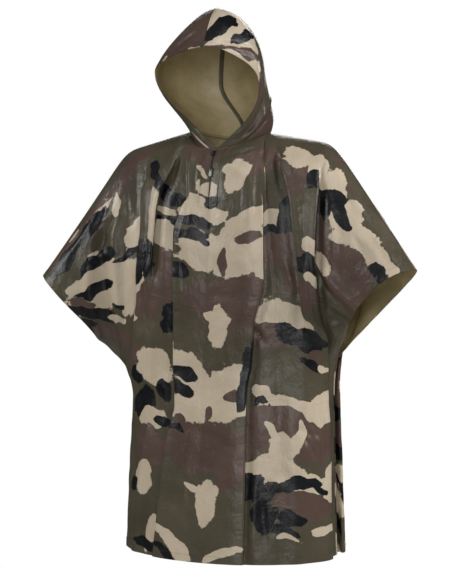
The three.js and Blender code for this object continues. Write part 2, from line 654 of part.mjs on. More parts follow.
// Pull tab, drawn hanging from the middle of its bar
function pullGeometry() {
  const w = PULL.width / 2;
  const bar = PULL.bar / 2;
  const tip = PULL.corner;
  const plate = polygon([[-w, bar], [-w, tip - PULL.length], [tip - w, -PULL.length],
    [w - tip, -PULL.length], [w, tip - PULL.length], [w, bar]]);
  const inside = w - PULL.leg;
  plate.holes.push(polygon([[-inside, -bar], [inside, -bar], [inside, -bar - PULL.window],
    [-inside, -bar - PULL.window]]));
  const geometry = new THREE.ExtrudeGeometry(plate, { depth: PULL.thick, bevelEnabled: false });
  geometry.translate(0, 0, -PULL.thick / 2);
  return geometry.rotateX(QUARTER_TURN);
}

// Pull tab with its bar in the middle of the slider's loop, lying down along the placket
function pullOnSlider() {
  return pullGeometry().translate(0, -SLIDER.thick - BAIL.rise / 2, BAIL.height);
}

// Cap of the snap with the ring pressed into its face, face towards -y
function snapGeometry() {
  const r = SNAP.radius;
  const h = SNAP.height;
  const profile = [[0, 0], [r, 0], [r, h * 0.45], [r * 0.86, h], [r * 0.62, h], [r * 0.55, h * 0.6],
    [0, h * 0.7]];
  const points = profile.map(([x, y]) => new THREE.Vector2(x, y));
  return new THREE.LatheGeometry(points, SNAP.sides).rotateX(Math.PI);
}

const wasm = await Module();
wasm.setup();
const PLAIN_COUNTS = { [-1]: plainCounts(-1), 1: plainCounts(1) };
const poncho = new THREE.Group();
poncho.name = 'rain_poncho';
addMesh(poncho, 'front_panel', panelGeometry(-1), cloth(COLOURS.cloth));
addMesh(poncho, 'back_panel', panelGeometry(1), cloth(COLOURS.cloth));
addMesh(poncho, 'hood_left', hoodGeometry(SIDES.left), cloth(COLOURS.cloth));
addMesh(poncho, 'hood_right', hoodGeometry(SIDES.right), cloth(COLOURS.cloth));
addMesh(poncho, 'hood_seam_tape', seamTapeGeometry(), cloth(COLOURS.tape));
addMesh(poncho, 'placket_left', stripGeometry(-1, PLACKET, STRIP_LIFT), cloth(COLOURS.cloth));
addMesh(poncho, 'placket_right', stripGeometry(1, PLACKET, STRIP_LIFT), cloth(COLOURS.cloth));
addMesh(poncho, 'zip_tape_left', stripGeometry(-1, ZIP_TAPE, -STRIP_LIFT), cloth(COLOURS.tape));
addMesh(poncho, 'zip_tape_right', stripGeometry(1, ZIP_TAPE, -STRIP_LIFT), cloth(COLOURS.tape));
addMesh(poncho, 'zip_slider', seatOnFront(sliderGeometry(), SLIDER_ROW, SLIDER_LIFT), metal(COLOURS.slider));
addMesh(poncho, 'zip_pull', seatOnFront(pullOnSlider(), SLIDER_ROW, SLIDER_LIFT), metal(COLOURS.pull));
addMesh(poncho, 'neck_snap', seatOnFront(snapGeometry(), SNAP.row, SNAP.lift), metal(COLOURS.snap));

export default poncho;
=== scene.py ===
import math
from collections import namedtuple

import bpy
import numpy as np
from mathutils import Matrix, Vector, noise


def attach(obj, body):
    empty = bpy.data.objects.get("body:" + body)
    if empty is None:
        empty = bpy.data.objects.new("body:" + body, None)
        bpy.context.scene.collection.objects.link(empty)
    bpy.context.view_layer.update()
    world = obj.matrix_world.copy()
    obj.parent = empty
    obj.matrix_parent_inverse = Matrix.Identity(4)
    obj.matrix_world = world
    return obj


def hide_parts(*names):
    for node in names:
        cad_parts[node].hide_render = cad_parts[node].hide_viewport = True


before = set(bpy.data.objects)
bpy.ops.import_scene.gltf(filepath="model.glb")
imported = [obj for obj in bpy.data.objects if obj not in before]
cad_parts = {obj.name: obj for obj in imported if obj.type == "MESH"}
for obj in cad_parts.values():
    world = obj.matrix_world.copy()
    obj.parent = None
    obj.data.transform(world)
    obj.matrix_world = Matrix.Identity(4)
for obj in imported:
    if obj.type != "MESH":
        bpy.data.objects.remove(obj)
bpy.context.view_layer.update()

METRE = 0.001
QUARTER_TURN = math.pi / 2

# Walls, and the lifts that keep pieces apart
CLOTH = 1.2
STRIP = 1.0
SEAM_GAP = 0.3
PANEL_PARTING = 0.24
HOOD_PARTING = 0.18
STRIP_EASE = 0.15
STRIP_LIFT = CLOTH / 2 + SEAM_GAP + STRIP / 2 + STRIP_EASE

# Neckline, ridge and body, as in the part
NECK = dict(half_width=100, half_depth=90, middle_y=-10, front_z=-20, back_z=30, dip_power=1.3)
NECK_COLUMN = 0.45
ZIP_SLIT_COLUMN = 0.009
ZIP_SLIT_END = 0.26
HEM_Z = -1047
HEM_SIDE_RISE = 4
UNDERARM_MIDDLE_Z = -575
SIDES = {
    -1: dict(neck_z=40, shoulder_fall=0.226, sleeve_fall=1.55, tip_x=508, tip_y=-98, tip_z=-336,
             underarm_z=-603, front_power=0.74, back_power=0.9),
    1: dict(neck_z=26, shoulder_fall=0.19, sleeve_fall=1.33, tip_x=519, tip_y=-98, tip_z=-327,
            underarm_z=-548, front_power=0.64, back_power=0.76),
}
RIDGE_ROUNDING = 14
RIDGE_CROWDING = 0.25
SLEEVE_FROM_X = 250
SLEEVE_FORWARD_POWER = 1.3
BODY_SECTIONS = [
    dict(down=0.0, left_x=288, right_x=284, front=155, back=122),
    dict(down=0.13, left_x=263, right_x=277, front=163, back=120),
    dict(down=0.5, left_x=261, right_x=279, front=182, back=136),
    dict(down=1.0, left_x=265, right_x=283, front=211, back=176),
]
SECTION_FULLNESS = 0.8
SWELL = [
    dict(column=0.0, front=31, back=38),
    dict(column=0.45, front=86, back=88),
    dict(column=0.62, front=76, back=80),
    dict(column=0.82, front=72, back=94),
    dict(column=1.0, front=71, back=114),
]

# Folds where the cloth laps over itself. Paths are (row, column), on_top is the side that lies on top
Lap = namedtuple("Lap", "path start end height on_top")
LAPS = {
    -1: [
        Lap([(0, -0.57), (0.43, -0.51), (0.7, -0.53), (1, -0.62), (1.3, -0.77), (2, -0.88)], 0.1, 2.3, 15, 1),
        Lap([(0, -0.29), (0.12, -0.32), (0.3, -0.39), (0.55, -0.4), (1, -0.43)], 0.0, 0.7, 11, -1),
        Lap([(0.2, -0.13), (0.4, -0.21), (1.2, -0.2), (1.4, -0.27), (2, -0.32)], 0.14, 2.4, 9, 1),
        Lap([(0.25, 0.4), (0.64, 0.36), (0.82, 0.275), (1.1, 0.232), (2, 0.25)], 0.16, 2.4, 9, -1),
        Lap([(0, 0.494), (0.33, 0.57), (0.7, 0.62), (1, 0.64)], 0.0, 0.9, 11, 1),
        Lap([(0, 0.66), (0.47, 0.69), (0.71, 0.735), (0.86, 0.8), (1.2, 0.86), (2, 0.9)], 0.05, 2.3, 16, -1),
    ],
    1: [
        Lap([(0, -0.62), (0.6, -0.68), (1.2, -0.82), (2, -0.88)], 0.12, 2.3, 13, 1),
        Lap([(0.1, -0.3), (0.8, -0.27), (2, -0.34)], 0.3, 2.4, 9, 1),
        Lap([(0.1, 0.24), (0.9, 0.3), (2, 0.33)], 0.22, 2.4, 9, -1),
        Lap([(0, 0.64), (0.5, 0.7), (1.2, 0.84), (2, 0.9)], 0.1, 2.3, 14, -1),
    ],
}
LAP_TUCK = 6
LAP_WIDTH = 11
LAP_FADE = 70
LAP_ENDS = 0.16
LAP_DIP = 0.6                  # the cloth under a lap dips by this share of the lap's height
LAP_DIP_WIDTH = 15
SLIP_FROM = 0.5
HIDDEN_CLOTH = 44              # cloth folded away inside a lap, which breaks the print there
HIDDEN_NEAR = 15               # past this far from a lap the print is drawn as if it had no ends
HIDDEN_FAR = 190

# The part's soft folds, in columns and rows
Wave = namedtuple("Wave", "c0 r0 c1 r1 width height")
WAVES = {
    -1: [
        Wave(-0.68, 0.03, -0.74, 0.7, 24, 11),
        Wave(-0.72, 0.02, -0.86, 0.8, 26, -9),
        Wave(-0.76, 0.04, -0.97, 0.62, 24, 10),
        Wave(0.72, 0.08, 0.8, 0.45, 26, 9),
        Wave(0.74, 0.56, 1.02, 0.4, 30, 12),
        Wave(0.78, 0.72, 1.02, 0.62, 30, -12),
        Wave(-0.45, 1.2, -0.55, 2.0, 40, 8),
        Wave(0.55, 1.1, 0.6, 2.0, 42, 9),
    ],
    1: [
        Wave(-0.7, 0.05, -0.9, 0.75, 26, 10),
        Wave(0.7, 0.04, 0.88, 0.8, 26, 10),
        Wave(-0.05, 0.5, 0.02, 2.0, 46, -9),
        Wave(-0.58, 1.1, -0.6, 2.0, 44, 8),
        Wave(0.58, 1.2, 0.62, 2.0, 44, -8),
    ],
}
WAVE_ACROSS = 640
WAVE_DOWN = 560

# Finer creases in millimetres of the cut, from (u0, v0) to (u1, v1). A height under 0 is a trough
Crease = namedtuple("Crease", "u0 v0 u1 v1 width height")
CREASES = {
    -1: [],
    1: [
        Crease(-90, 30, -210, 240, 9, -5),
        Crease(-60, 35, -120, 300, 10, 4),
        Crease(70, 30, 190, 260, 9, -5),
        Crease(40, 40, 80, 330, 11, 4),
        Crease(-430, 40, -450, 330, 12, 6),
        Crease(-500, 60, -520, 300, 11, -6),
        Crease(450, 50, 470, 350, 12, 6),
        Crease(520, 80, 530, 300, 11, -5),
        Crease(-30, 420, 10, 900, 16, 4),
        Crease(150, 500, 170, 980, 15, -4),
        Crease(-170, 460, -190, 900, 14, -4),
        Crease(250, 560, 240, 1000, 12, 4),
        Crease(-260, 600, -250, 1000, 12, 4),
        Crease(-60, 500, 60, 540, 7, -3),
        Crease(90, 620, 170, 655, 6, -3),
        Crease(-150, 700, -60, 680, 7, 3),
    ],
}

# Creases of the front: from and to where they are seen, in pixels of the photograph
SeenCrease = namedtuple("SeenCrease", "px0 py0 px1 py1 width height")
FRONT_CREASES = [
    SeenCrease(125, 171, 124, 232, 9, 5),
    SeenCrease(118, 174, 114, 236, 9, -5),
    SeenCrease(136, 165, 136, 222, 8, -6),
    SeenCrease(129, 170, 131, 218, 6, 4),
    SeenCrease(146, 160, 141, 240, 8, -5),
    SeenCrease(115, 212, 95, 256, 9, -6),
    SeenCrease(108, 208, 86, 250, 8, 5),
    SeenCrease(92, 222, 64, 262, 9, 4),
    SeenCrease(84, 262, 112, 250, 9, 4),
    SeenCrease(140, 285, 147, 332, 8, -5),
    SeenCrease(184, 147, 171, 192, 6, -4),
    SeenCrease(188, 150, 181, 208, 6, -4),
    SeenCrease(192, 152, 187, 200, 6, 3),
    SeenCrease(197, 156, 193, 204, 6, -3),
    SeenCrease(187, 204, 176, 248, 5, 4),
    SeenCrease(182, 244, 183, 302, 8, -3),
    SeenCrease(150, 258, 146, 322, 7, 5),
    SeenCrease(165, 235, 162, 300, 9, 3),
    SeenCrease(262, 149, 261, 228, 9, -5),
    SeenCrease(271, 147, 266, 186, 7, 4),
    SeenCrease(277, 146, 290, 188, 7, 4),
    SeenCrease(276, 152, 281, 192, 6, -4),
    SeenCrease(219, 157, 262, 146, 4, -3),
    SeenCrease(222, 162, 250, 176, 8, 3),
    SeenCrease(240, 183, 239, 218, 7, -3),
    SeenCrease(252, 176, 249, 232, 9, 3),
    SeenCrease(294, 190, 317, 189, 4, -3),
    SeenCrease(296, 199, 314, 203, 5, -2),
    SeenCrease(301, 200, 304, 238, 8, 3),
    SeenCrease(329, 158, 322, 192, 7, 6),
    SeenCrease(316, 276, 356, 321, 8, -9),
    SeenCrease(321, 268, 362, 312, 11, 7),
    SeenCrease(352, 238, 374, 262, 8, -4),
    SeenCrease(344, 182, 372, 226, 12, 5),
    SeenCrease(371, 232, 398, 268, 9, 5),
    SeenCrease(330, 205, 345, 240, 10, -4),
    SeenCrease(249, 322, 267, 346, 4, -4),
    SeenCrease(255, 318, 270, 338, 5, 3),
    SeenCrease(251, 331, 272, 332, 4, -3),
    SeenCrease(258, 338, 262, 356, 4, 3),
    SeenCrease(161, 384, 163, 424, 7, -5),
    SeenCrease(152, 328, 149, 396, 12, 4),
    SeenCrease(140, 340, 139, 430, 12, -4),
    SeenCrease(292, 424, 326, 436, 5, -3),
    SeenCrease(302, 432, 318, 458, 5, -3),
    SeenCrease(309, 425, 322, 448, 5, 3),
    SeenCrease(205, 330, 199, 520, 14, -3),
    SeenCrease(226, 292, 222, 430, 15, 3),
    SeenCrease(188, 420, 180, 540, 14, 3),
    SeenCrease(276, 350, 280, 480, 13, -3),
    SeenCrease(301, 348, 306, 545, 15, 4),
    SeenCrease(329, 400, 330, 480, 6, 4),
    SeenCrease(324, 380, 322, 545, 9, -4),
    SeenCrease(263, 500, 266, 552, 10, -4),
    SeenCrease(254, 470, 252, 552, 9, 4),
    SeenCrease(147, 440, 143, 545, 10, -4),
    SeenCrease(212, 262, 232, 290, 12, -2),
    SeenCrease(232, 240, 250, 282, 14, 2),
    SeenCrease(205, 292, 243, 300, 9, -2),
    SeenCrease(208, 432, 238, 452, 8, -2),
    SeenCrease(282, 258, 295, 290, 8, 3),
    SeenCrease(303, 262, 309, 318, 8, 4),
]

# Hood arches from the face edge to the back seam, as in the part
HOOD_ARCHES = [
    dict(foot=-90, half_width=131, side_y=-92, left_z=178, right_z=148, top_y=-152, top_z=226),
    dict(foot=-58, half_width=137, side_y=-58, left_z=168, right_z=150, top_y=-118, top_z=297),
    dict(foot=-15, half_width=138, side_y=-2, left_z=155, right_z=150, top_y=-70, top_z=332),
    dict(foot=28, half_width=116, side_y=62, left_z=150, right_z=150, top_y=-40, top_z=342),
    dict(foot=62, half_width=66, side_y=100, left_z=150, right_z=150, top_y=-22, top_z=344),
    dict(foot=90, half_width=0, side_y=116, left_z=150, right_z=150, top_y=-10, top_z=343),
]
HOOD_TURN = math.radians(14)
HOOD_SHIFT = (-35, -42)
HOOD_TURN_FROM = 30
HOOD_TURN_TO = 170
HOOD_LEAN = 20
HOOD_LEAN_FROM = 180
HOOD_LEAN_TO = 350
HOOD_FOOT_RISE = 2.3
HOOD_FOOT_TUCK = 6             # the hood's foot goes down inside the back's neckline
HOOD_SIDE_POWER = {-1: 1.25, 1: 1}
HOOD_BRIM_POWER = 1.25
HOOD_BRIM_TO = 0.35
HOOD_CROWN_ROUNDING = 6
HOOD_LOWEST_BULGE = 0.36
HOOD_MIDDLE = (-10, 150)

# Grids of the scene's cloth
PANEL_GRIDS = {
    -1: dict(upper_rows=92, lower_rows=76, spacing=0.0125),
    1: dict(upper_rows=72, lower_rows=58, spacing=0.0165),
}
ROW_POWER = 1.35
FEWEST_COLUMNS = 4
LAP_STEPS = np.linspace(-1, 1, 13)
CUT_GRID = 281


def mix(a, b, share):
    return a + (b - a) * share


def smooth_step(low, high, value):
    share = np.clip((value - low) / (high - low), 0, 1)
    return share * share * (3 - 2 * share)


def unit(vectors):
    return vectors / np.maximum(np.linalg.norm(vectors, axis=-1, keepdims=True), 1e-9)


def table_curve(rows, key, column, at):
    """Smooth curve through one column of a table, by another column that rises."""
    xs = np.array([row[key] for row in rows], float)
    ys = np.array([row[column] for row in rows], float)
    i = np.clip(np.searchsorted(xs, at, side="left") - 1, 0, len(xs) - 2)
    before = np.maximum(i - 1, 0)
    after = np.minimum(i + 2, len(xs) - 1)
    span = xs[i + 1] - xs[i]
    s = np.clip((at - xs[i]) / span, 0, 1)
    slope_in = (ys[i + 1] - ys[before]) / (xs[i + 1] - xs[before]) * span
    slope_out = (ys[after] - ys[i]) / (xs[after] - xs[i]) * span
    s2 = s * s
    s3 = s2 * s
    return ((2 * s3 - 3 * s2 + 1) * ys[i] + (s3 - 2 * s2 + s) * slope_in
            + (3 * s2 - 2 * s3) * ys[i + 1] + (s3 - s2) * slope_out)


def path_column(path, row):
    """Column of a path given as (row, column) pairs, at any row."""
    rows, columns = np.array(path, float).T
    i = np.clip(np.searchsorted(rows, row, side="left") - 1, 0, len(rows) - 2)
    share = np.clip((row - rows[i]) / (rows[i + 1] - rows[i]), 0, 1)
    return mix(columns[i], columns[i + 1], (smooth_step(0, 1, share) + share) / 2)


def of_side(column, name):
    return np.where(column < 0, SIDES[-1][name], SIDES[1][name]).astype(float)


def upper_edge(face, column):
    """Neckline in the middle, then the ridge over shoulder and arm."""
    sign = np.where(column < 0, -1.0, 1.0)
    share = np.abs(column)
    neck_z = of_side(column, "neck_z")
    turn = np.clip(share / NECK_COLUMN, 0, 1) * QUARTER_TURN
    cosine = np.maximum(np.cos(turn), 0)
    end_z = NECK["front_z"] if face < 0 else NECK["back_z"]
    on_neck = np.stack([
        sign * NECK["half_width"] * np.sin(turn),
        NECK["middle_y"] + face * NECK["half_depth"] * cosine,
        mix(neck_z, end_z, cosine ** NECK["dip_power"]),
    ], -1)
    along = np.clip((share - NECK_COLUMN) / (1 - NECK_COLUMN), 0, 1)
    tip_x = of_side(column, "tip_x")
    x = mix(NECK["half_width"], tip_x, along + RIDGE_CROWDING * (along - along * along))
    on_shoulder = neck_z - of_side(column, "shoulder_fall") * (x - NECK["half_width"])
    on_sleeve = of_side(column, "tip_z") + of_side(column, "sleeve_fall") * (tip_x - x)
    k = RIDGE_ROUNDING
    z = -k * np.logaddexp(-on_shoulder / k, -on_sleeve / k)
    out = np.clip((x - SLEEVE_FROM_X) / (tip_x - SLEEVE_FROM_X), 0, 1)
    y = mix(NECK["middle_y"], of_side(column, "tip_y"), out ** SLEEVE_FORWARD_POWER)
    on_ridge = np.stack([sign * x, y, z], -1)
    return np.where((share <= NECK_COLUMN)[..., None], on_neck, on_ridge)


def body_point(face, column, down):
    """Point of the body below the underarm, down from 0 to 1."""
    sign = np.where(column < 0, -1.0, 1.0)
    turn = np.abs(column) * QUARTER_TURN
    left = table_curve(BODY_SECTIONS, "down", "left_x", down)
    right = table_curve(BODY_SECTIONS, "down", "right_x", down)
    depth = table_curve(BODY_SECTIONS, "down", "front" if face < 0 else "back", down)
    top_z = mix(UNDERARM_MIDDLE_Z, of_side(column, "underarm_z"), smooth_step(0.1, 1, np.abs(column)))
    return np.stack([
        sign * np.where(column < 0, left, right) * np.sin(turn),
        face * depth * np.maximum(np.cos(turn), 0) ** SECTION_FULLNESS,
        mix(top_z, HEM_Z + HEM_SIDE_RISE * np.abs(column), down),
    ], -1)


def plain_point(face, column, row):
    """The cloth's form without its folds."""
    column, row = np.broadcast_arrays(np.asarray(column, float), np.asarray(row, float))
    share = np.abs(column)
    top = upper_edge(face, column)
    low = body_point(face, column, np.zeros_like(row))
    edge_power = of_side(column, "front_power" if face < 0 else "back_power")
    power = mix(0.5, edge_power, smooth_step(NECK_COLUMN, 1, share))
    upper = np.clip(row, 0, 1)
    swell = table_curve(SWELL, "column", "front" if face < 0 else "back", share)
    above = np.stack([
        mix(top[..., 0], low[..., 0], upper ** power),
        mix(top[..., 1], low[..., 1], upper) + face * swell * np.sin(math.pi * np.sqrt(upper)),
        mix(top[..., 2], low[..., 2], upper),
    ], -1)
    below = body_point(face, column, np.clip(row - 1, 0, 1))
    return np.where((row >= 1)[..., None], below, above)


def plain_frame(face, column, row):
    """Directions of the plain form: across, out of the cloth, and millimetres for each column."""
    step = 0.004
    c0 = np.clip(column - step, -1, 1)
    c1 = np.clip(column + step, -1, 1)
    r0 = np.clip(row - step, 0.001, 2)
    r1 = np.clip(row + step, 0.001, 2)
    across = plain_point(face, c1, row) - plain_point(face, c0, row)
    per_column = np.linalg.norm(across, axis=-1) / (c1 - c0)
    across = unit(across)
    down = unit(plain_point(face, column, r1) - plain_point(face, column, r0))
    return across, unit(np.cross(down, across)) * -face, per_column


def cut_tables(points, middle):
    """Lays a grid of points flat: u across from its middle column, v down from its first row."""
    across = np.linalg.norm(np.diff(points, axis=1), axis=-1)
    u = np.concatenate([np.zeros((len(points), 1)), np.cumsum(across, axis=1)], axis=1)
    u -= u[:, middle:middle + 1]
    down = np.linalg.norm(np.diff(points, axis=0), axis=-1)
    sideways = np.diff(u, axis=0)
    least = (0.3 * down) ** 2
    v = np.cumsum(np.sqrt(np.maximum(down ** 2 - sideways ** 2, least)), axis=0)
    return u, np.concatenate([np.zeros((1, v.shape[1])), v], axis=0)


def read_table(table, i, j):
    """Value of a table between its grid points."""
    i = np.clip(i, 0, table.shape[0] - 1.001)
    j = np.clip(j, 0, table.shape[1] - 1.001)
    i0 = i.astype(int)
    j0 = j.astype(int)
    si = i - i0
    sj = j - j0
    upper = mix(table[i0, j0], table[i0, j0 + 1], sj)
    lower = mix(table[i0 + 1, j0], table[i0 + 1, j0 + 1], sj)
    return mix(upper, lower, si)


def panel_cut_tables(face):
    """Lays a panel flat: u is the way round at one height, v the way down from the neck's level."""
    columns = np.linspace(-1, 1, CUT_GRID)
    rows = np.linspace(0, 2, CUT_GRID)
    points = plain_point(face, columns[None, :], rows[:, None])
    heights = np.linspace(points[..., 2].max(), points[..., 2].min(), CUT_GRID)
    level = np.stack([[np.interp(-heights, -line[:, 2], line[:, axis]) for axis in (0, 1)]
                      for line in np.moveaxis(points, 1, 0)])
    round_step = np.linalg.norm(np.diff(level, axis=0), axis=1).T
    u = np.concatenate([np.zeros((CUT_GRID, 1)), np.cumsum(round_step, axis=1)], axis=1)
    u -= u[:, CUT_GRID // 2][:, None]
    down_step = np.linalg.norm(np.diff(points[..., 1:], axis=0), axis=-1)
    v = np.concatenate([np.zeros((1, CUT_GRID)), np.cumsum(down_step, axis=0)], axis=0)
    return u, v - points[0, :, 2], heights


CUTS = {face: panel_cut_tables(face) for face in (-1, 1)}


def panel_cut(face, column, row):
    """Millimetres across and down the panel laid flat, hidden cloth left out."""
    column, row = np.broadcast_arrays(np.asarray(column, float), np.asarray(row, float))
    u_table, v_table, heights = CUTS[face]
    level = (heights[0] - plain_point(face, column, row)[..., 2]) / (heights[0] - heights[-1])
    j = (column + 1) / 2 * (CUT_GRID - 1)
    return read_table(u_table, level * (CUT_GRID - 1), j), read_table(v_table, row / 2 * (CUT_GRID - 1), j)


def lap_parts(face, column, row, per_column):
    """For each lap: the lap, its strength here, and the millimetres past its middle."""
    for lap in LAPS[face]:
        rising = smooth_step(lap.start, lap.start + LAP_ENDS, row)
        strength = rising * (1 - smooth_step(lap.end - LAP_ENDS, lap.end, row))
        yield lap, strength, (column - path_column(lap.path, row)) * per_column


def wave_height(waves, column, row):
    height = np.zeros_like(column)
    x = column * WAVE_ACROSS
    z = row * WAVE_DOWN
    for wave in waves:
        ax, az = wave.c0 * WAVE_ACROSS, wave.r0 * WAVE_DOWN
        bx, bz = wave.c1 * WAVE_ACROSS, wave.r1 * WAVE_DOWN
        share = ((x - ax) * (bx - ax) + (z - az) * (bz - az)) / ((bx - ax) ** 2 + (bz - az) ** 2)
        near = np.clip(share, 0, 1)
        away = np.hypot(x - mix(ax, bx, near), z - mix(az, bz, near))
        height += wave.height * np.exp(-((away / wave.width) ** 2)) * smooth_step(-0.05, 0.3, share)
    return height


def crease_height(creases, u, v):
    """Soft troughs and ridges, rounded across and fading at both ends."""
    height = np.zeros_like(u)
    for crease in creases:
        du = crease.u1 - crease.u0
        dv = crease.v1 - crease.v0
        share = ((u - crease.u0) * du + (v - crease.v0) * dv) / (du * du + dv * dv)
        near = np.clip(share, 0, 1)
        away = np.hypot(u - crease.u0 - du * near, v - crease.v0 - dv * near)
        ends = smooth_step(-0.08, 0.3, share) * (1 - smooth_step(0.6, 1.08, share))
        height += crease.height * np.exp(-((away / crease.width) ** 2)) * ends
    return height


def ripples(u, v, size, stretch, seed):
    """Uneven small ripples of the loose cloth, from -1 to 1."""
    flat = np.stack([u / (size * stretch), v / size], -1).reshape(-1, 2)
    values = [noise.noise(Vector((a, b, seed))) for a, b in flat]
    return np.array(values).reshape(u.shape)


def cloth_point(face, column, row, lift=0.0):
    """The cloth with laps, waves and creases, moved out by `lift`."""
    column, row = np.broadcast_arrays(np.asarray(column, float), np.asarray(row, float))
    across, out, per_column = plain_frame(face, column, row)
    u, v = panel_cut(face, column, row)
    raised = wave_height(WAVES[face], column, row) * smooth_step(0, 0.06, row)
    raised += crease_height(CREASES[face], u, v) * smooth_step(0, 0.03, row)
    slide = np.zeros_like(column)
    for lap, strength, away in lap_parts(face, column, row, per_column):
        in_lap = np.clip(away * lap.on_top / LAP_WIDTH, -1, 1)
        past = np.maximum(away * lap.on_top - LAP_WIDTH, 0)
        under = (away * lap.on_top + LAP_WIDTH) / LAP_DIP_WIDTH
        raised -= LAP_DIP * lap.height * strength * np.exp(-under * under)
        raised += (lap.height * strength * (0.5 + 0.5 * np.sin(in_lap * QUARTER_TURN))
                   * np.exp(-((past / LAP_FADE) ** 2)))
        slip = smooth_step(SLIP_FROM, 1, strength)
        slide -= (LAP_TUCK + LAP_WIDTH / 2) * slip * lap.on_top * np.sin(in_lap * math.pi)
    return plain_point(face, column, row) + across * slide[..., None] + out * (raised + lift)[..., None]


def print_place(face, column, row):
    """Place on the printed cloth: the cut with the cloth hidden in each lap added."""
    column, row = np.broadcast_arrays(np.asarray(column, float), np.asarray(row, float))
    per_column = plain_frame(face, column, row)[2]
    u, v = panel_cut(face, column, row)
    for lap, strength, away in lap_parts(face, column, row, per_column):
        passed = smooth_step(-0.6, 0.6, away / LAP_WIDTH)
        middle = path_column(lap.path, row)
        hidden = HIDDEN_CLOTH * mix(strength, 1, smooth_step(HIDDEN_NEAR, HIDDEN_FAR, np.abs(away)))
        u = u + hidden * np.where(middle > 0, passed, passed - 1)
    return u, v


def panel_rows(grid):
    upper = np.linspace(0, 1, grid["upper_rows"] + 1) ** ROW_POWER
    lower = 1 + np.linspace(0, 1, grid["lower_rows"] + 1)[1:]
    return np.concatenate([upper, lower])


def columns_between(last, to, spacing):
    count = max(FEWEST_COLUMNS, math.ceil((to - last).max() / spacing))
    return [mix(last, to, k / count) for k in range(count)]


def panel_columns(face, rows, spacing):
    """Columns of every row: close ones at each lap, even ones between, two at the zip's slit."""
    marks = []
    for lap in LAPS[face]:
        at = path_column(lap.path, rows)
        marks.append((at, LAP_WIDTH / plain_frame(face, at, rows)[2], LAP_STEPS))
    if face < 0:
        marks.append((np.zeros_like(rows), np.full_like(rows, ZIP_SLIT_COLUMN), np.array([-1, 1])))
    marks.sort(key=lambda mark: mark[0].mean())
    columns = []
    last = np.full_like(rows, -1.0)
    for at, half, steps in marks:
        columns += columns_between(last, at - half, spacing)
        columns += [at + half * step for step in steps[:-1]]
        last = at + half
    columns += columns_between(last, np.ones_like(rows), spacing) + [np.ones_like(rows)]
    return np.stack(columns, axis=1)


def grid_normals(points, sense):
    down = np.gradient(points, axis=0)
    across = np.gradient(points, axis=1)
    return unit(np.cross(down, across)) * sense


def wall_mesh(name, points, normals, thick, place, covers, materials, keep=None, reverse=False):
    """Closes a grid of points into a wall: outer skin, inner skin and the rim between them."""
    rows, columns = points.shape[:2]
    count = rows * columns
    index = np.arange(count).reshape(rows, columns)
    quads = np.stack([index[:-1, :-1], index[1:, :-1], index[1:, 1:], index[:-1, 1:]], -1)
    quads = (quads if keep is None else quads[keep]).reshape(-1, 4)
    if reverse:
        quads = quads[:, ::-1]
    edges = np.concatenate([quads[:, [k, (k + 1) % 4]] for k in range(4)])
    ahead = edges[:, 0] * count + edges[:, 1]
    back = edges[:, 1] * count + edges[:, 0]
    rim = edges[~np.isin(ahead, back)]
    rim_quads = np.stack([rim[:, 1], rim[:, 0], rim[:, 0] + count, rim[:, 1] + count], -1)
    faces = np.concatenate([quads, quads[:, ::-1] + count, rim_quads])
    middle = points.reshape(-1, 3)
    offset = normals.reshape(-1, 3) * thick / 2
    vertices = np.concatenate([middle + offset, middle - offset]) * METRE
    mesh = bpy.data.meshes.new(name)
    mesh.from_pydata(vertices.tolist(), [], faces.tolist())
    for material in materials:
        mesh.materials.append(material)
    skins = np.zeros(len(faces), np.int32)
    skins[len(quads):2 * len(quads)] = len(materials) - 1
    mesh.polygons.foreach_set("material_index", skins)
    mesh.polygons.foreach_set("use_smooth", np.ones(len(faces), bool))
    u, v = place
    flat = np.stack([u, v], -1).reshape(-1, 2) * METRE
    both = np.concatenate([flat, flat])
    layer = mesh.uv_layers.new(name="cut")
    corners = np.zeros(len(mesh.loops), np.int32)
    mesh.loops.foreach_get("vertex_index", corners)
    layer.data.foreach_set("uv", both[corners].astype(np.float32).ravel())
    attribute = mesh.attributes.new("patches", "FLOAT_VECTOR", "POINT")
    amounts = np.concatenate([covers.reshape(-1, 3)] * 2)
    attribute.data.foreach_set("vector", amounts.astype(np.float32).ravel())
    mesh.set_sharp_from_angle(angle=math.radians(60))
    mesh.update()
    piece = bpy.data.objects.new(name, mesh)
    bpy.context.scene.collection.objects.link(piece)
    return piece


# The camera stands where the photograph was taken from
VIEW_TURN = math.radians(24)
VIEW_DISTANCE = 3600
VIEW_HEIGHT = -361
PIXEL = 2.6                    # millimetres for a pixel of the photograph
MIDDLE_PX = 233
MIDDLE_PY = 284
IMAGE_SIZE = (455, 568)
SEEN_REACH = 3                 # pixels
SEEN_WEIGHT = 6                # a pixel away counts as much as this many millimetres further back


def seen_at(points):
    """Pixel of the photograph where each point is seen, and its distance towards the camera."""
    x, y, z = np.moveaxis(points, -1, 0)
    nearer = x * math.sin(VIEW_TURN) - y * math.cos(VIEW_TURN)
    scale = VIEW_DISTANCE / (VIEW_DISTANCE - nearer) / PIXEL
    across = (x * math.cos(VIEW_TURN) + y * math.sin(VIEW_TURN)) * scale
    return MIDDLE_PX + across, MIDDLE_PY - (z - VIEW_HEIGHT) * scale, nearer


def place_of_pixel(points, u, v, px, py):
    """Place on the cloth that is seen at a pixel: the front-most of the points near it."""
    seen_x, seen_y, nearer = seen_at(points)
    away = np.hypot(seen_x - px, seen_y - py)
    hidden = np.where(away < SEEN_REACH, SEEN_WEIGHT * away - nearer, VIEW_DISTANCE * (1 + away))
    best = np.unravel_index(np.argmin(hidden), hidden.shape)
    return u[best], v[best]


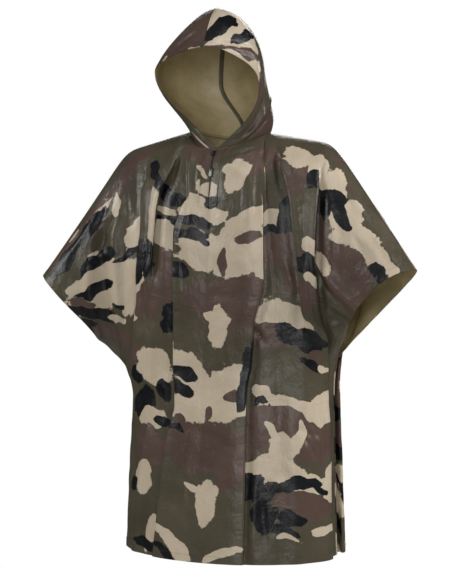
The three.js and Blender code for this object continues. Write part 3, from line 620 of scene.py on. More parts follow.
# Printed patches of a plain woodland pattern, and one black patch that is a painted fold shadow: where
# each is seen, in pixels, and its size in millimetres of cloth. tilt is in degrees, clockwise as seen
Patch = namedtuple("Patch", "colour px py length height tilt")
FRONT_PATCHES = [
    # sleeve and shoulder on the left of the picture
    Patch("brown", 138, 160, 100, 44, -30),
    Patch("brown", 124, 176, 110, 44, -62),
    Patch("brown", 92, 215, 190, 30, -52),
    Patch("brown", 62, 254, 90, 26, -48),
    Patch("tan", 115, 203, 56, 24, -75),
    Patch("tan", 105, 208, 70, 12, -48),
    Patch("tan", 92, 220, 60, 12, -50),
    Patch("tan", 74, 236, 44, 12, -48),
    Patch("black", 90, 228, 130, 30, -54),
    Patch("black", 66, 258, 110, 34, -48),
    Patch("tan", 93, 258, 46, 22, -48),
    Patch("tan", 134, 236, 62, 66, 0),
    Patch("tan", 137, 228, 36, 40, 0),
    Patch("tan", 106, 287, 200, 104, -28),
    Patch("tan", 75, 288, 60, 30, -40),
    Patch("tan", 128, 292, 90, 116, 0),
    Patch("tan", 134, 286, 26, 70, 0),
    Patch("tan", 133, 312, 26, 40, 0),
    Patch("black", 97, 262, 96, 34, -30),
    Patch("black", 107, 253, 50, 40, 0),
    Patch("black", 129, 254, 84, 16, -22),
    Patch("black", 90, 293, 120, 26, -22),
    Patch("black", 106, 287, 50, 18, -20),
    Patch("brown", 83, 302, 64, 24, 10),
    Patch("black", 94, 314, 130, 26, 14),
    Patch("black", 118, 308, 50, 12, 0),
    Patch("black", 92, 327, 70, 30, 30),
    Patch("tan", 116, 322, 80, 16, 10),
    Patch("brown", 118, 336, 130, 40, 10),
    Patch("brown", 128, 352, 80, 44, 20),
    Patch("black", 136, 374, 50, 36, 30),
    # between shoulder and zip
    Patch("brown", 196, 150, 70, 60, 0),
    Patch("brown", 219, 152, 70, 34, 0),
    Patch("brown", 202, 164, 30, 50, 0),
    Patch("tan", 200, 170, 24, 12, 20),
    Patch("black", 154, 170, 56, 28, 64),
    Patch("black", 160, 182, 46, 34, 55),
    Patch("black", 167, 193, 56, 40, 40),
    Patch("black", 175, 198, 70, 34, 8),
    Patch("tan", 153, 196, 28, 46, 0),
    Patch("tan", 182, 210, 130, 36, -6),
    Patch("tan", 194, 199, 40, 34, 0),
    Patch("black", 154, 211, 40, 26, 0),
    Patch("tan", 167, 211, 44, 26, 0),
    Patch("black", 167, 222, 50, 24, -4),
    Patch("tan", 149, 232, 22, 70, 0),
    Patch("black", 190, 220, 140, 26, -3),
    Patch("tan", 166, 236, 64, 64, 0),
    Patch("tan", 150, 224, 26, 110, 0),
    Patch("tan", 207, 186, 52, 34, 0),
    Patch("black", 210, 200, 52, 40, 10),
    Patch("tan", 213, 216, 80, 30, 10),
    # chest
    Patch("tan", 206, 252, 130, 90, 0),
    Patch("tan", 236, 252, 150, 110, 15),
    Patch("tan", 245, 222, 120, 46, -8),
    Patch("tan", 254, 272, 60, 50, 0),
    Patch("black", 189, 237, 100, 24, -16),
    Patch("black", 205, 240, 34, 14, 20),
    Patch("brown", 246, 238, 62, 22, 12),
    Patch("brown", 260, 158, 150, 62, 4),
    Patch("brown", 286, 182, 46, 84, -8),
    Patch("tan", 235, 175, 48, 78, 0),
    Patch("tan", 226, 168, 34, 16, 20),
    Patch("tan", 243, 171, 34, 20, -30),
    Patch("tan", 272, 220, 58, 40, 0),
    Patch("black", 287, 216, 36, 150, 6),
    Patch("black", 272, 232, 62, 32, 15),
    Patch("brown", 277, 252, 96, 78, 24),
    Patch("olive", 281, 287, 88, 96, 0),
    Patch("brown", 290, 262, 40, 120, 0),
    Patch("black", 149, 262, 28, 110, 0),
    # painted shade: this narrow black patch lies on the dark strip beside the lap and paints the fold's
    # shadow into the print
    Patch("black", 141, 262, 22, 96, 0),
    Patch("black", 158, 270, 60, 26, 0),
    Patch("brown", 140, 300, 30, 90, 0),
    Patch("brown", 167, 276, 62, 118, 0),
    Patch("brown", 149, 300, 46, 100, 0),
    Patch("black", 174, 268, 54, 34, 10),
    Patch("brown", 222, 300, 190, 96, 4),
    Patch("brown", 246, 308, 110, 100, 0),
    Patch("brown", 222, 263, 20, 64, 0),
    Patch("brown", 252, 286, 22, 44, 0),
    # between the two folds on the right
    Patch("brown", 299, 176, 58, 64, 10),
    Patch("tan", 306, 247, 38, 32, 0),
    Patch("black", 307, 264, 40, 44, 0),
    Patch("tan", 308, 279, 26, 34, -20),
    Patch("brown", 307, 294, 46, 56, 0),
    # shoulder and sleeve on the right of the picture
    Patch("tan", 298, 154, 108, 48, 22),
    Patch("tan", 318, 166, 66, 56, 0),
    Patch("brown", 340, 158, 38, 42, 0),
    Patch("black", 314, 178, 38, 42, 20),
    Patch("tan", 337, 186, 66, 100, 10),
    Patch("tan", 350, 216, 80, 74, 0),
    Patch("tan", 354, 238, 120, 46, 12),
    Patch("tan", 376, 256, 96, 44, 52),
    Patch("tan", 394, 272, 66, 24, 40),
    Patch("brown", 350, 187, 34, 30, 20),
    Patch("black", 330, 200, 54, 44, 0),
    Patch("black", 341, 217, 78, 26, 56),
    Patch("black", 322, 216, 26, 66, 0),
    Patch("brown", 321, 238, 44, 84, 0),
    Patch("brown", 345, 271, 140, 96, 28),
    Patch("brown", 352, 292, 90, 70, -30),
    Patch("tan", 323, 265, 60, 32, 62),
    Patch("black", 379, 277, 58, 28, 45),
    # lower body, left of its fold
    Patch("black", 168, 316, 40, 76, 10),
    Patch("tan", 154, 366, 100, 88, 0),
    Patch("tan", 171, 346, 15, 62, 0),
    Patch("black", 143, 399, 76, 54, -24),
    Patch("black", 164, 388, 42, 54, 0),
    Patch("tan", 151, 415, 84, 46, 0),
    Patch("brown", 148, 446, 90, 96, 0),
    Patch("black", 162, 424, 56, 22, 0),
    Patch("tan", 141, 476, 56, 74, 10),
    Patch("black", 134, 482, 38, 34, 0),
    Patch("tan", 150, 532, 28, 84, 10),
    Patch("black", 148, 544, 96, 22, 14),
    # middle of the body
    Patch("tan", 217, 327, 46, 86, 0),
    Patch("tan", 208, 318, 34, 16, 10),
    Patch("tan", 227, 321, 26, 18, -30),
    Patch("tan", 191, 373, 124, 72, 42),
    Patch("tan", 230, 384, 96, 90, -24),
    Patch("tan", 205, 412, 196, 76, 0),
    Patch("black", 184, 374, 52, 38, 0),
    Patch("black", 182, 389, 66, 24, 12),
    Patch("brown", 234, 396, 54, 26, 14),
    Patch("brown", 200, 451, 196, 110, 0),
    Patch("brown", 229, 470, 60, 96, 10),
    Patch("brown", 181, 421, 28, 34, 0),
    Patch("brown", 208, 416, 16, 36, 0),
    Patch("black", 173, 426, 46, 18, 10),
    Patch("tan", 204, 503, 46, 102, 0),
    Patch("tan", 194, 489, 36, 16, 20),
    Patch("tan", 213, 491, 26, 18, -30),
    Patch("tan", 172, 542, 100, 38, 32),
    Patch("tan", 221, 555, 80, 24, -8),
    Patch("black", 166, 553, 70, 20, 14),
    # right of the fold
    Patch("tan", 289, 316, 146, 66, 16),
    Patch("brown", 263, 336, 96, 62, 22),
    Patch("black", 287, 332, 64, 42, 34),
    Patch("black", 310, 343, 66, 56, 10),
    Patch("brown", 315, 357, 38, 28, 0),
    Patch("black", 311, 366, 64, 20, 30),
    Patch("tan", 324, 370, 26, 18, 20),
    Patch("black", 251, 374, 30, 156, 8),
    Patch("tan", 262, 393, 60, 26, 50),
    Patch("tan", 291, 408, 130, 50, 10),
    Patch("tan", 323, 407, 84, 72, 0),
    Patch("black", 266, 408, 60, 26, 42),
    Patch("brown", 257, 430, 96, 108, 0),
    Patch("brown", 289, 420, 100, 48, 30),
    Patch("brown", 316, 446, 96, 88, 10),
    Patch("olive", 314, 467, 54, 26, 20),
    Patch("tan", 284, 446, 62, 66, 0),
    Patch("tan", 271, 430, 40, 22, 50),
    Patch("tan", 299, 434, 22, 44, 0),
    Patch("tan", 268, 471, 168, 64, 6),
    Patch("tan", 308, 484, 140, 40, 10),
    Patch("tan", 332, 484, 44, 92, 0),
    Patch("black", 248, 484, 56, 52, 20),
    Patch("black", 271, 492, 90, 44, 0),
    Patch("black", 301, 486, 96, 26, -4),
    Patch("black", 320, 490, 60, 16, 22),
    Patch("black", 266, 514, 52, 84, 0),
    Patch("brown", 306, 508, 146, 56, 10),
    Patch("black", 294, 520, 64, 32, 0),
    Patch("black", 286, 530, 74, 22, 8),
    Patch("tan", 290, 537, 60, 12, 0),
    Patch("tan", 326, 529, 76, 24, 8),
]
HOOD_PATCHES = {
    -1: [
        Patch("brown", 190, 30, 240, 110, -48),
        Patch("brown", 203, 18, 110, 80, -60),
        Patch("brown", 170, 52, 90, 60, -40),
        Patch("tan", 195, 47, 34, 10, -14),
        Patch("tan", 161, 60, 28, 9, -34),
        Patch("brown", 194, 140, 40, 60, 50),
        Patch("tan", 201, 142, 66, 10, 42),
        Patch("tan", 209, 34, 16, 60, 20),
    ],
    1: [
        Patch("tan", 226, 22, 160, 110, 30),
        Patch("tan", 243, 40, 110, 90, 45),
        Patch("tan", 252, 62, 90, 70, 30),
        Patch("tan", 212, 44, 60, 20, -30),
        Patch("black", 222, 26, 104, 42, -32),
        Patch("black", 229, 21, 50, 36, 0),
        Patch("black", 244, 38, 62, 26, -20),
        Patch("black", 252, 33, 40, 22, 30),
        Patch("brown", 228, 50, 170, 26, 10),
        Patch("brown", 250, 54, 80, 26, 14),
        Patch("tan", 240, 61, 110, 18, 24),
        Patch("tan", 261, 76, 44, 60, 0),
        Patch("brown", 257, 100, 60, 90, 0),
        Patch("tan", 238, 121, 70, 28, -56),
        Patch("olive", 254, 133, 70, 30, -20),
        Patch("tan", 262, 141, 80, 30, -10),
        Patch("brown", 262, 118, 34, 50, 0),
    ],
}
PATCH_COLOURS = ("brown", "tan", "black")
PATCH_FULLNESS = 1.15
PATCH_LOBES = ((62, 12), (26, 7))  # size of the lobes on a patch's edge, and how far they reach


def cover_of(patches, u, v):
    """How much each colour covers each place, over 0.5 inside. Later patches lie over earlier ones."""
    warped_u = u.copy()
    warped_v = v.copy()
    for size, reach in PATCH_LOBES:
        warped_u += reach * ripples(u, v, size, 1, 3.1 + size)
        warped_v += reach * ripples(u, v, size, 1, 7.7 + size)
    covers = np.zeros(u.shape + (len(PATCH_COLOURS),))
    for patch, patch_u, patch_v in patches:
        turn = math.radians(patch.tilt)
        du = warped_u - patch_u
        dv = warped_v - patch_v
        along = (du * math.cos(turn) + dv * math.sin(turn)) * 2 / (patch.length * PATCH_FULLNESS)
        over = (dv * math.cos(turn) - du * math.sin(turn)) * 2 / (patch.height * PATCH_FULLNESS)
        amount = np.clip(1 - np.hypot(along, over) / 2, 0, 1)
        layer = PATCH_COLOURS.index(patch.colour) if patch.colour in PATCH_COLOURS else -1
        if layer >= 0:
            covers[..., layer] = np.maximum(covers[..., layer], amount)
        covers[..., layer + 1:] = np.minimum(covers[..., layer + 1:], (1 - amount)[..., None])
    return covers


# Patches for sides that the photograph doesn't show: rows of like sizes, each a little off its place
SCATTER = dict(across=180, down=112, jitter=48, length=(90, 200), height=(54, 104), tilt=44,
               black_height=0.42, row_shift=0.37)
BACK_SCATTER = dict(u_range=(-820, 820), v_range=(-40, 1200), seed=11)
HOOD_SCATTER = dict(u_range=(120, 480), v_range=(-40, 620), seed=5)


def scattered_patches(u_range, v_range, seed):
    """Patches strewn over a piece of cloth, brown, tan and black in turn."""
    dice = np.random.default_rng(seed)
    patches = []
    for k, v in enumerate(np.arange(v_range[0], v_range[1], SCATTER["down"] / len(PATCH_COLOURS))):
        start = u_range[0] + SCATTER["across"] * ((k * SCATTER["row_shift"]) % 1)
        for u in np.arange(start, u_range[1], SCATTER["across"]):
            colour = PATCH_COLOURS[(k + int(u // SCATTER["across"])) % len(PATCH_COLOURS)]
            place = np.array([u, v]) + dice.uniform(-SCATTER["jitter"], SCATTER["jitter"], 2)
            length = dice.uniform(*SCATTER["length"])
            height = dice.uniform(*SCATTER["height"])
            if colour == "black":
                height *= SCATTER["black_height"]
            patch = Patch(colour, 0, 0, length, height, dice.uniform(-SCATTER["tilt"], SCATTER["tilt"]))
            patches.append((patch, place[0], place[1]))
    return patches


def linear(value):
    share = value / 255
    return share / 12.92 if share <= 0.04045 else ((share + 0.055) / 1.055) ** 2.4


def colour(red, green, blue):
    """A colour named by its screen values, 0 to 255."""
    return (linear(red), linear(green), linear(blue), 1.0)


OLIVE = colour(70, 65, 51)
PALE_OLIVE = colour(84, 78, 62)
BROWN = colour(78, 61, 54)
PALE_BROWN = colour(93, 75, 66)
TAN = colour(182, 167, 145)
PALE_TAN = colour(202, 188, 166)
BLACK = colour(9, 10, 13)
PALE_BLACK = colour(20, 21, 26)
REVERSE = colour(214, 198, 154)
REVERSE_SHADE = colour(164, 149, 108)
TAPE_COLOUR = colour(92, 84, 60)


class Tree:
    """Short calls that build a material's nodes."""

    def __init__(self, name):
        self.material = bpy.data.materials.new(name)
        self.material.use_nodes = True
        self.nodes = self.material.node_tree.nodes
        self.links = self.material.node_tree.links
        self.shader = self.nodes["Principled BSDF"]

    def add(self, kind, inputs=None, **settings):
        node = self.nodes.new(kind)
        for key, value in settings.items():
            setattr(node, key, value)
        for key, value in (inputs or {}).items():
            if isinstance(value, bpy.types.NodeSocket):
                self.links.new(value, node.inputs[key])
            else:
                node.inputs[key].default_value = value
        return node

    def math(self, operation, a, b=0.0, c=0.0):
        return self.add("ShaderNodeMath", {0: a, 1: b, 2: c}, operation=operation).outputs[0]

    def blend(self, share, a, b):
        node = self.add("ShaderNodeMix", {0: share, 6: a, 7: b}, data_type="RGBA")
        return node.outputs[2]

    def noise(self, place, scale, detail=2.0, roughness=0.5, offset=(0, 0, 0), stretch=(1, 1, 1)):
        """Noise from 0 to 1. Scale is in waves a metre."""
        moved = self.add("ShaderNodeMapping", {"Vector": place, "Location": offset, "Scale": stretch})
        inputs = {"Vector": moved.outputs[0], "Scale": scale, "Detail": detail, "Roughness": roughness}
        return self.add("ShaderNodeTexNoise", inputs).outputs["Fac"]

    def range(self, value, low, high, to_low=0.0, to_high=1.0):
        inputs = {"Value": value, "From Min": low, "From Max": high, "To Min": to_low, "To Max": to_high}
        return self.add("ShaderNodeMapRange", inputs).outputs[0]

    def bump(self, height, distance, strength=1.0, after=None):
        """Adds a relief, with height from 0 to 1 and distance in metres."""
        node = self.add("ShaderNodeBump", {"Height": height, "Distance": distance, "Strength": strength})
        if after is not None:
            self.links.new(after, node.inputs["Normal"])
        return node.outputs[0]

    def wire(self, **inputs):
        for name, value in inputs.items():
            socket = self.shader.inputs[name.replace("_", " ")]
            if isinstance(value, bpy.types.NodeSocket):
                self.links.new(value, socket)
            else:
                socket.default_value = value


def cut_place(tree):
    return tree.add("ShaderNodeUVMap", uv_map="cut").outputs[0]


EDGE_WANDER = 0.075            # how far fine noise moves a patch's edge, as a share of its cover
EDGE_SOFTNESS = 0.012


def printed_colour(tree, place):
    """Woodland print: olive cloth under brown, tan and black patches with lobed edges."""
    patches = tree.add("ShaderNodeAttribute", attribute_name="patches").outputs["Vector"]
    covers = tree.add("ShaderNodeSeparateXYZ", {0: patches}).outputs
    fade = tree.noise(place, 7, 3)
    shown = tree.blend(tree.range(fade, 0.35, 0.7), OLIVE, PALE_OLIVE)
    layers = [
        (covers[0], BROWN, PALE_BROWN, -1),
        (covers[1], TAN, PALE_TAN, 1),
        (covers[2], BLACK, PALE_BLACK, -1),
    ]
    lobes = tree.noise(place, 55, 4, 0.62)
    wander = tree.math("MULTIPLY_ADD", lobes, EDGE_WANDER * 4, -EDGE_WANDER * 2)
    for cover, deep, pale, sign in layers:
        edge = tree.math("MULTIPLY_ADD", wander, sign, cover)
        share = tree.range(edge, 0.5 - EDGE_SOFTNESS, 0.5 + EDGE_SOFTNESS)
        shown = tree.blend(share, shown, tree.blend(tree.range(fade, 0.3, 0.75), deep, pale))
    return shown


WEAVE_PITCH = 0.0006
PACKING_FOLDS = (0.215, 0.262)  # spacing of the creases left from folding the poncho into its bag


def weave_height(tree, place):
    across = tree.add("ShaderNodeSeparateXYZ", {0: place}).outputs
    turns = 2 * math.pi / WEAVE_PITCH
    warp = tree.math("SINE", tree.math("MULTIPLY", across[0], turns))
    weft = tree.math("SINE", tree.math("MULTIPLY", across[1], turns))
    return tree.math("MULTIPLY_ADD", tree.math("MULTIPLY", warp, weft), 0.5, 0.5)


def packing_height(tree, place):
    """Low sharp creases in a grid, uneven and in places gone."""
    across = tree.add("ShaderNodeSeparateXYZ", {0: place}).outputs
    total = None
    for k, spacing in enumerate(PACKING_FOLDS):
        drift = tree.noise(place, 4, 1, offset=(k * 2.3, 5.1, 0))
        moved = tree.math("MULTIPLY_ADD", drift, 0.012, across[k])
        from_line = tree.math("PINGPONG", tree.math("ADD", moved, spacing * 0.31), spacing / 2)
        line = tree.range(from_line, 0.0, 0.0035, 1.0, 0.0)
        present = tree.range(tree.noise(place, 9, 1, offset=(0, k * 4.4, 1)), 0.4, 0.62)
        height = tree.math("MULTIPLY", line, present)
        total = height if total is None else tree.math("MAXIMUM", total, height)
    return total


def cloth_relief(tree, place, crinkle=1.0):
    """Crinkles of coated cloth, packing creases and weave."""
    broad = tree.noise(place, 34, 3, 0.55, stretch=(1, 0.7, 1))
    fine = tree.noise(place, 130, 3, 0.6, offset=(2, 3, 0))
    normal = tree.bump(broad, 0.0042 * crinkle, 0.8)
    normal = tree.bump(fine, 0.0007 * crinkle, 0.7, normal)
    normal = tree.bump(packing_height(tree, place), 0.0006, 0.7, normal)
    return tree.bump(weave_height(tree, place), 0.00006, 0.6, normal)


def printed_cloth():
    tree = Tree("printed_cloth")
    place = cut_place(tree)
    gloss = tree.range(tree.noise(place, 16, 3), 0.3, 0.7, 0.3, 0.42)
    tree.wire(Base_Color=printed_colour(tree, place), Roughness=gloss, Normal=cloth_relief(tree, place),
              Specular_IOR_Level=0.34)
    return tree.material


def reverse_cloth():
    """Coated reverse: plain, with the print showing through a little."""
    tree = Tree("reverse_cloth")
    place = cut_place(tree)
    through = tree.blend(0.16, REVERSE, printed_colour(tree, place))
    mottled = tree.blend(tree.range(tree.noise(place, 11, 4, 0.6), 0.3, 0.75), through, REVERSE_SHADE)
    gloss = tree.range(tree.noise(place, 20, 3), 0.3, 0.7, 0.4, 0.54)
    tree.wire(Base_Color=mottled, Roughness=gloss, Normal=cloth_relief(tree, place, 0.8),
              Specular_IOR_Level=0.4)
    return tree.material


def tape_cloth():
    tree = Tree("seam_tape_cloth")
    place = cut_place(tree)
    worn = tree.range(tree.noise(place, 45, 4, 0.6), 0.3, 0.75)
    tree.wire(Base_Color=tree.blend(worn, TAPE_COLOUR, colour(66, 60, 44)), Roughness=0.5,
              Normal=cloth_relief(tree, place, 0.4))
    return tree.material


def thread(name, shade, pale):
    """Twisted polyester thread."""
    tree = Tree(name)
    place = tree.add("ShaderNodeTexCoord").outputs["Object"]
    twist = tree.noise(place, 900, 2)
    tree.wire(Base_Color=tree.blend(twist, shade, pale), Roughness=0.55, Normal=tree.bump(twist, 0.0001))
    return tree.material


def metal(name, shade, worn, roughness, metallic):
    """Painted or plated metal with small scratches, paler where it is rubbed."""
    tree = Tree(name)
    place = tree.add("ShaderNodeTexCoord").outputs["Object"]
    scratches = tree.noise(place, 500, 4, 0.65, stretch=(1, 1, 0.2))
    rubbed = tree.range(tree.noise(place, 160, 3), 0.52, 0.74)
    gloss = tree.range(scratches, 0.3, 0.7, roughness - 0.07, roughness + 0.12)
    tree.wire(Base_Color=tree.blend(rubbed, shade, worn), Roughness=gloss, Metallic=metallic,
              Normal=tree.bump(scratches, 0.00006))
    return tree.material


CLOTH_SKINS = [printed_cloth(), reverse_cloth()]
TAPE = tape_cloth()
DARK_THREAD = thread("dark_thread", colour(40, 38, 34), colour(62, 58, 50))
OLIVE_THREAD = thread("olive_thread", colour(98, 88, 66), colour(128, 116, 90))
ZIP_TOOTH = thread("zip_coil", colour(42, 42, 40), colour(70, 68, 62))
TILT_REACH = 3                 # pixels
HEM_WIDTH = 20
HEM_STEP = 0.8
PUCKER_DEPTH = 1.2
PUCKER_START = 30              # millimetres from a seam to where the puckers are full
SEAM_FLAT_PER_ROW = 300        # rough millimetres of cloth in a row of the grid
SIDE_SEAM_ROW = 1.5
SIDE_MATCH = 120               # millimetres past the side seam where a patch is carried over


def hem_lift(from_edge, width=HEM_WIDTH):
    """A turned hem stands a little proud of the single cloth above it."""
    return HEM_STEP * (1 - smooth_step(width - 1.5, width + 2.5, from_edge))


def places_on(points, u, v, patches):
    """The patches with their places on the cloth, found from where they are seen."""
    return [(patch, *place_of_pixel(points, u, v, patch.px, patch.py)) for patch in patches]


def turned_places_on(points, u, v, patches):
    """As places_on, where the cut lies turned to the picture: the tilt is turned with it."""
    placed = []
    for patch in patches:
        turn = math.radians(patch.tilt)
        ends = []
        for reach in (-TILT_REACH, TILT_REACH):
            end_px = patch.px + reach * math.cos(turn)
            end_py = patch.py + reach * math.sin(turn)
            ends.append(place_of_pixel(points, u, v, end_px, end_py))
        tilt = math.degrees(math.atan2(ends[1][1] - ends[0][1], ends[1][0] - ends[0][0]))
        placed.append((patch._replace(tilt=tilt), *place_of_pixel(points, u, v, patch.px, patch.py)))
    return placed


def creases_on(points, u, v, seen_creases):
    """Creases in millimetres of the cut, found from where they are seen."""
    return [Crease(*place_of_pixel(points, u, v, seen.px0, seen.py0),
                   *place_of_pixel(points, u, v, seen.px1, seen.py1), seen.width, seen.height)
            for seen in seen_creases]


def panel_surface(face, column, row, lift=0.0):
    """The finished outer form: folds, puckers and turned hems, moved out by `lift`."""
    column, row = np.broadcast_arrays(np.asarray(column, float), np.asarray(row, float))
    u, v = panel_cut(face, column, row)
    puckers = ripples(u, v, 30, 1.3, 1.7) + 1.6 * ripples(u, v, 85, 0.6, 4.2)
    from_hem = panel_cut(face, column, np.full_like(row, 2))[1] - v
    from_side = (1 - np.abs(column)) * plain_frame(face, column, row)[2]
    from_cuff = from_side + np.where(row > 1, HEM_WIDTH * 2, 0)
    from_seam = np.minimum(row * SEAM_FLAT_PER_ROW, from_side + np.where(row < 1, PUCKER_START, 0))
    puckers *= PUCKER_DEPTH * smooth_step(0, PUCKER_START, from_seam)
    raised = np.maximum(hem_lift(from_hem), hem_lift(from_cuff)) + puckers
    return cloth_point(face, column, row, raised + lift)


def sew_panel(face, name, find_patches):
    grid = PANEL_GRIDS[face]
    rows = panel_rows(grid)
    columns = panel_columns(face, rows, grid["spacing"])
    row_grid = np.broadcast_to(rows[:, None], columns.shape)
    if face < 0:
        u, v = panel_cut(face, columns, row_grid)
        CREASES[face] = creases_on(cloth_point(face, columns, row_grid), u, v, FRONT_CREASES)
    printed = print_place(face, columns, row_grid)
    points = panel_surface(face, columns, row_grid)
    points[0, :, 1] += face * PANEL_PARTING
    points[rows >= 1, 0, 1] += face * PANEL_PARTING
    points[rows >= 1, -1, 1] += face * PANEL_PARTING
    normals = grid_normals(points, -face)
    on_ridge = np.abs(columns[0]) > NECK_COLUMN
    seam = normals[0, on_ridge]
    seam[:, 1] = 0
    normals[0, on_ridge] = unit(seam)
    for edge in (0, -1):
        seam = normals[rows >= 1, edge]
        seam[:, 1] = 0
        normals[rows >= 1, edge] = unit(seam)
    patches = find_patches(points, *printed)
    keep = np.ones((len(rows) - 1, columns.shape[1] - 1), bool)
    if face < 0:
        across_slit = np.abs(columns[:-1, :-1] + columns[:-1, 1:]) < 1e-6
        keep = ~(across_slit & (rows[1:, None] <= ZIP_SLIT_END))
    piece = wall_mesh(name, points, normals, CLOTH, printed, cover_of(patches, *printed), CLOTH_SKINS,
                      keep, face > 0)
    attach(piece, "garment")
    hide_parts("front_panel" if face < 0 else "back_panel")
    return patches


def seen_patches(points, u, v):
    return places_on(points, u, v, FRONT_PATCHES)


def back_patches(points, u, v):
    """Scattered patches, and near the sides the front's own, carried on over the side seam."""
    patches = scattered_patches(**BACK_SCATTER)
    for sign in (-1, 1):
        front_u, front_v = print_place(-1, sign, SIDE_SEAM_ROW)
        back_u, back_v = print_place(1, sign, SIDE_SEAM_ROW)
        for patch, patch_u, patch_v in front_patches:
            past = sign * (front_u - patch_u)
            if past < SIDE_MATCH:
                placed = patch._replace(tilt=-patch.tilt)
                patches.append((placed, back_u + sign * past, patch_v + back_v - front_v))
    return patches


front_patches = sew_panel(-1, "front_cloth", seen_patches)
sew_panel(1, "back_cloth", back_patches)

# Hood
HOOD_GRID = dict(up=104, across=92)
HOOD_CREASES = {
    -1: [
        SeenCrease(178, 36, 206, 14, 7, 3),
        SeenCrease(170, 52, 200, 30, 8, -3),
    ],
    1: [
        SeenCrease(262, 97, 240, 140, 7, -8),
        SeenCrease(264, 108, 243, 142, 6, 6),
        SeenCrease(267, 119, 246, 146, 5, -6),
        SeenCrease(212, 44, 258, 52, 6, -4),
        SeenCrease(216, 51, 262, 60, 8, 4),
        SeenCrease(258, 62, 263, 84, 5, -4),
        SeenCrease(236, 14, 252, 44, 12, 3),
        SeenCrease(222, 12, 232, 36, 12, -3),
        SeenCrease(252, 104, 244, 126, 5, 3),
    ],
}
BRIM_WIDTH = 16
HOOD_PRINT_APART = 3000        # keeps the two halves' print from being the same
HOOD_FOOT_REACH = 90
FOOT_TUCK_FROM = -45
FOOT_TUCK_TO = -5
HOOD_SMALL_RIPPLE = 0.8
HOOD_WIDE_RIPPLE = 1.2
SEAM_SHARE = 0.05              # share of the hood beside each seam where it lies flat


def hood_point(sign, across, up):
    """across: 0 face edge, 1 back seam. up: 0 neckline, 1 crown seam."""
    across, up = np.broadcast_arrays(np.asarray(across, float), np.asarray(up, float))
    table = [dict(arch, at=k / (len(HOOD_ARCHES) - 1)) for k, arch in enumerate(HOOD_ARCHES)]
    foot = table_curve(table, "at", "foot", across)
    foot_column = sign * np.maximum(NECK_COLUMN * np.clip(1 - np.abs(foot) / HOOD_FOOT_REACH, 0, 1), 1e-6)
    base = np.where((foot < 0)[..., None], upper_edge(-1, foot_column), upper_edge(1, foot_column))
    width = np.maximum(table_curve(table, "at", "half_width", across), 0)
    side_y = table_curve(table, "at", "side_y", across)
    side_z = table_curve(table, "at", "left_z" if sign < 0 else "right_z", across)
    top_y = table_curve(table, "at", "top_y", across)
    top_z = table_curve(table, "at", "top_z", across)
    s = np.clip(up / HOOD_LOWEST_BULGE, 0, 1)
    tuck = HOOD_FOOT_TUCK * smooth_step(FOOT_TUCK_FROM, FOOT_TUCK_TO, foot)
    low = np.stack([
        mix(np.abs(base[..., 0]), width, np.sin(s * QUARTER_TURN)),
        mix(base[..., 1], side_y, (smooth_step(0, 1, s) + s) / 2),
        mix(base[..., 2] + HOOD_FOOT_RISE - tuck, side_z, s),
    ], -1)
    turn = np.clip((up - HOOD_LOWEST_BULGE) / (1 - HOOD_LOWEST_BULGE), 0, 1) * QUARTER_TURN
    side_power = mix(HOOD_BRIM_POWER, HOOD_SIDE_POWER[sign], smooth_step(0, HOOD_BRIM_TO, across))
    flatness = mix(side_power, 1, np.sin(turn) ** HOOD_CROWN_ROUNDING)
    cosine = np.maximum(np.cos(turn), 0)
    high = np.stack([
        width * cosine ** flatness,
        mix(top_y, side_y, cosine),
        mix(side_z, top_z, np.sin(turn)),
    ], -1)
    point = np.where((up < HOOD_LOWEST_BULGE)[..., None], low, high)
    point[..., 0] = sign * (point[..., 0] + HOOD_PARTING)
    return point


def turn_hood(point):
    x, y, z = np.moveaxis(point, -1, 0)
    amount = smooth_step(HOOD_TURN_FROM, HOOD_TURN_TO, z)
    angle = HOOD_TURN * amount
    dy = y - NECK["middle_y"]
    lean = HOOD_LEAN * smooth_step(HOOD_LEAN_FROM, HOOD_LEAN_TO, z)
    return np.stack([
        x * np.cos(angle) - dy * np.sin(angle) + HOOD_SHIFT[0] * amount + lean,
        NECK["middle_y"] + x * np.sin(angle) + dy * np.cos(angle) + HOOD_SHIFT[1] * amount,
        z,
    ], -1)


def hood_surface(sign):
    """Grid of a hood half: points with creases, normals, and the cut's u and v."""
    ups = np.linspace(0, 1, HOOD_GRID["up"] + 1)
    acrosses = np.linspace(0, 1, HOOD_GRID["across"] + 1)
    plain = turn_hood(hood_point(sign, acrosses[None, :], ups[:, None]))
    u, v = cut_tables(plain, 0)
    normals = grid_normals(plain, -sign)
    raised = crease_height(creases_on(plain, u, v, HOOD_CREASES[sign]), u, v)
    small = HOOD_SMALL_RIPPLE * ripples(u, v, 34, 1, 2.2 * sign)
    raised += small + HOOD_WIDE_RIPPLE * ripples(u, v, 90, 1, 5.2 * sign)
    near_crown = smooth_step(1 - SEAM_SHARE, 1, ups)
    at_seams = smooth_step(0, SEAM_SHARE, ups)[:, None] * (1 - near_crown)[:, None]
    at_seams = at_seams * (1 - smooth_step(1 - SEAM_SHARE, 1, acrosses))[None, :]
    raised = raised * at_seams + hem_lift(u, BRIM_WIDTH) * at_seams
    points = plain + normals * raised[..., None]
    normals = grid_normals(points, -sign)
    for edge in (normals[-1], normals[:, -1]):
        edge[:, 0] = 0
    return points, unit(normals), u, v


def sew_hood(sign, name, node):
    points, normals, u, v = hood_surface(sign)
    patches = scattered_patches(**HOOD_SCATTER)
    patches += turned_places_on(points, u, v, HOOD_PATCHES[sign])
    piece = wall_mesh(name, points, normals, CLOTH, (u + sign * HOOD_PRINT_APART, v), cover_of(patches, u, v),
                      CLOTH_SKINS, reverse=sign > 0)
    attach(piece, "garment")
    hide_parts(node)
    return points, normals


hood_left_points, hood_left_normals = sew_hood(-1, "hood_cloth_left", "hood_left")
hood_right_points, hood_right_normals = sew_hood(1, "hood_cloth_right", "hood_right")

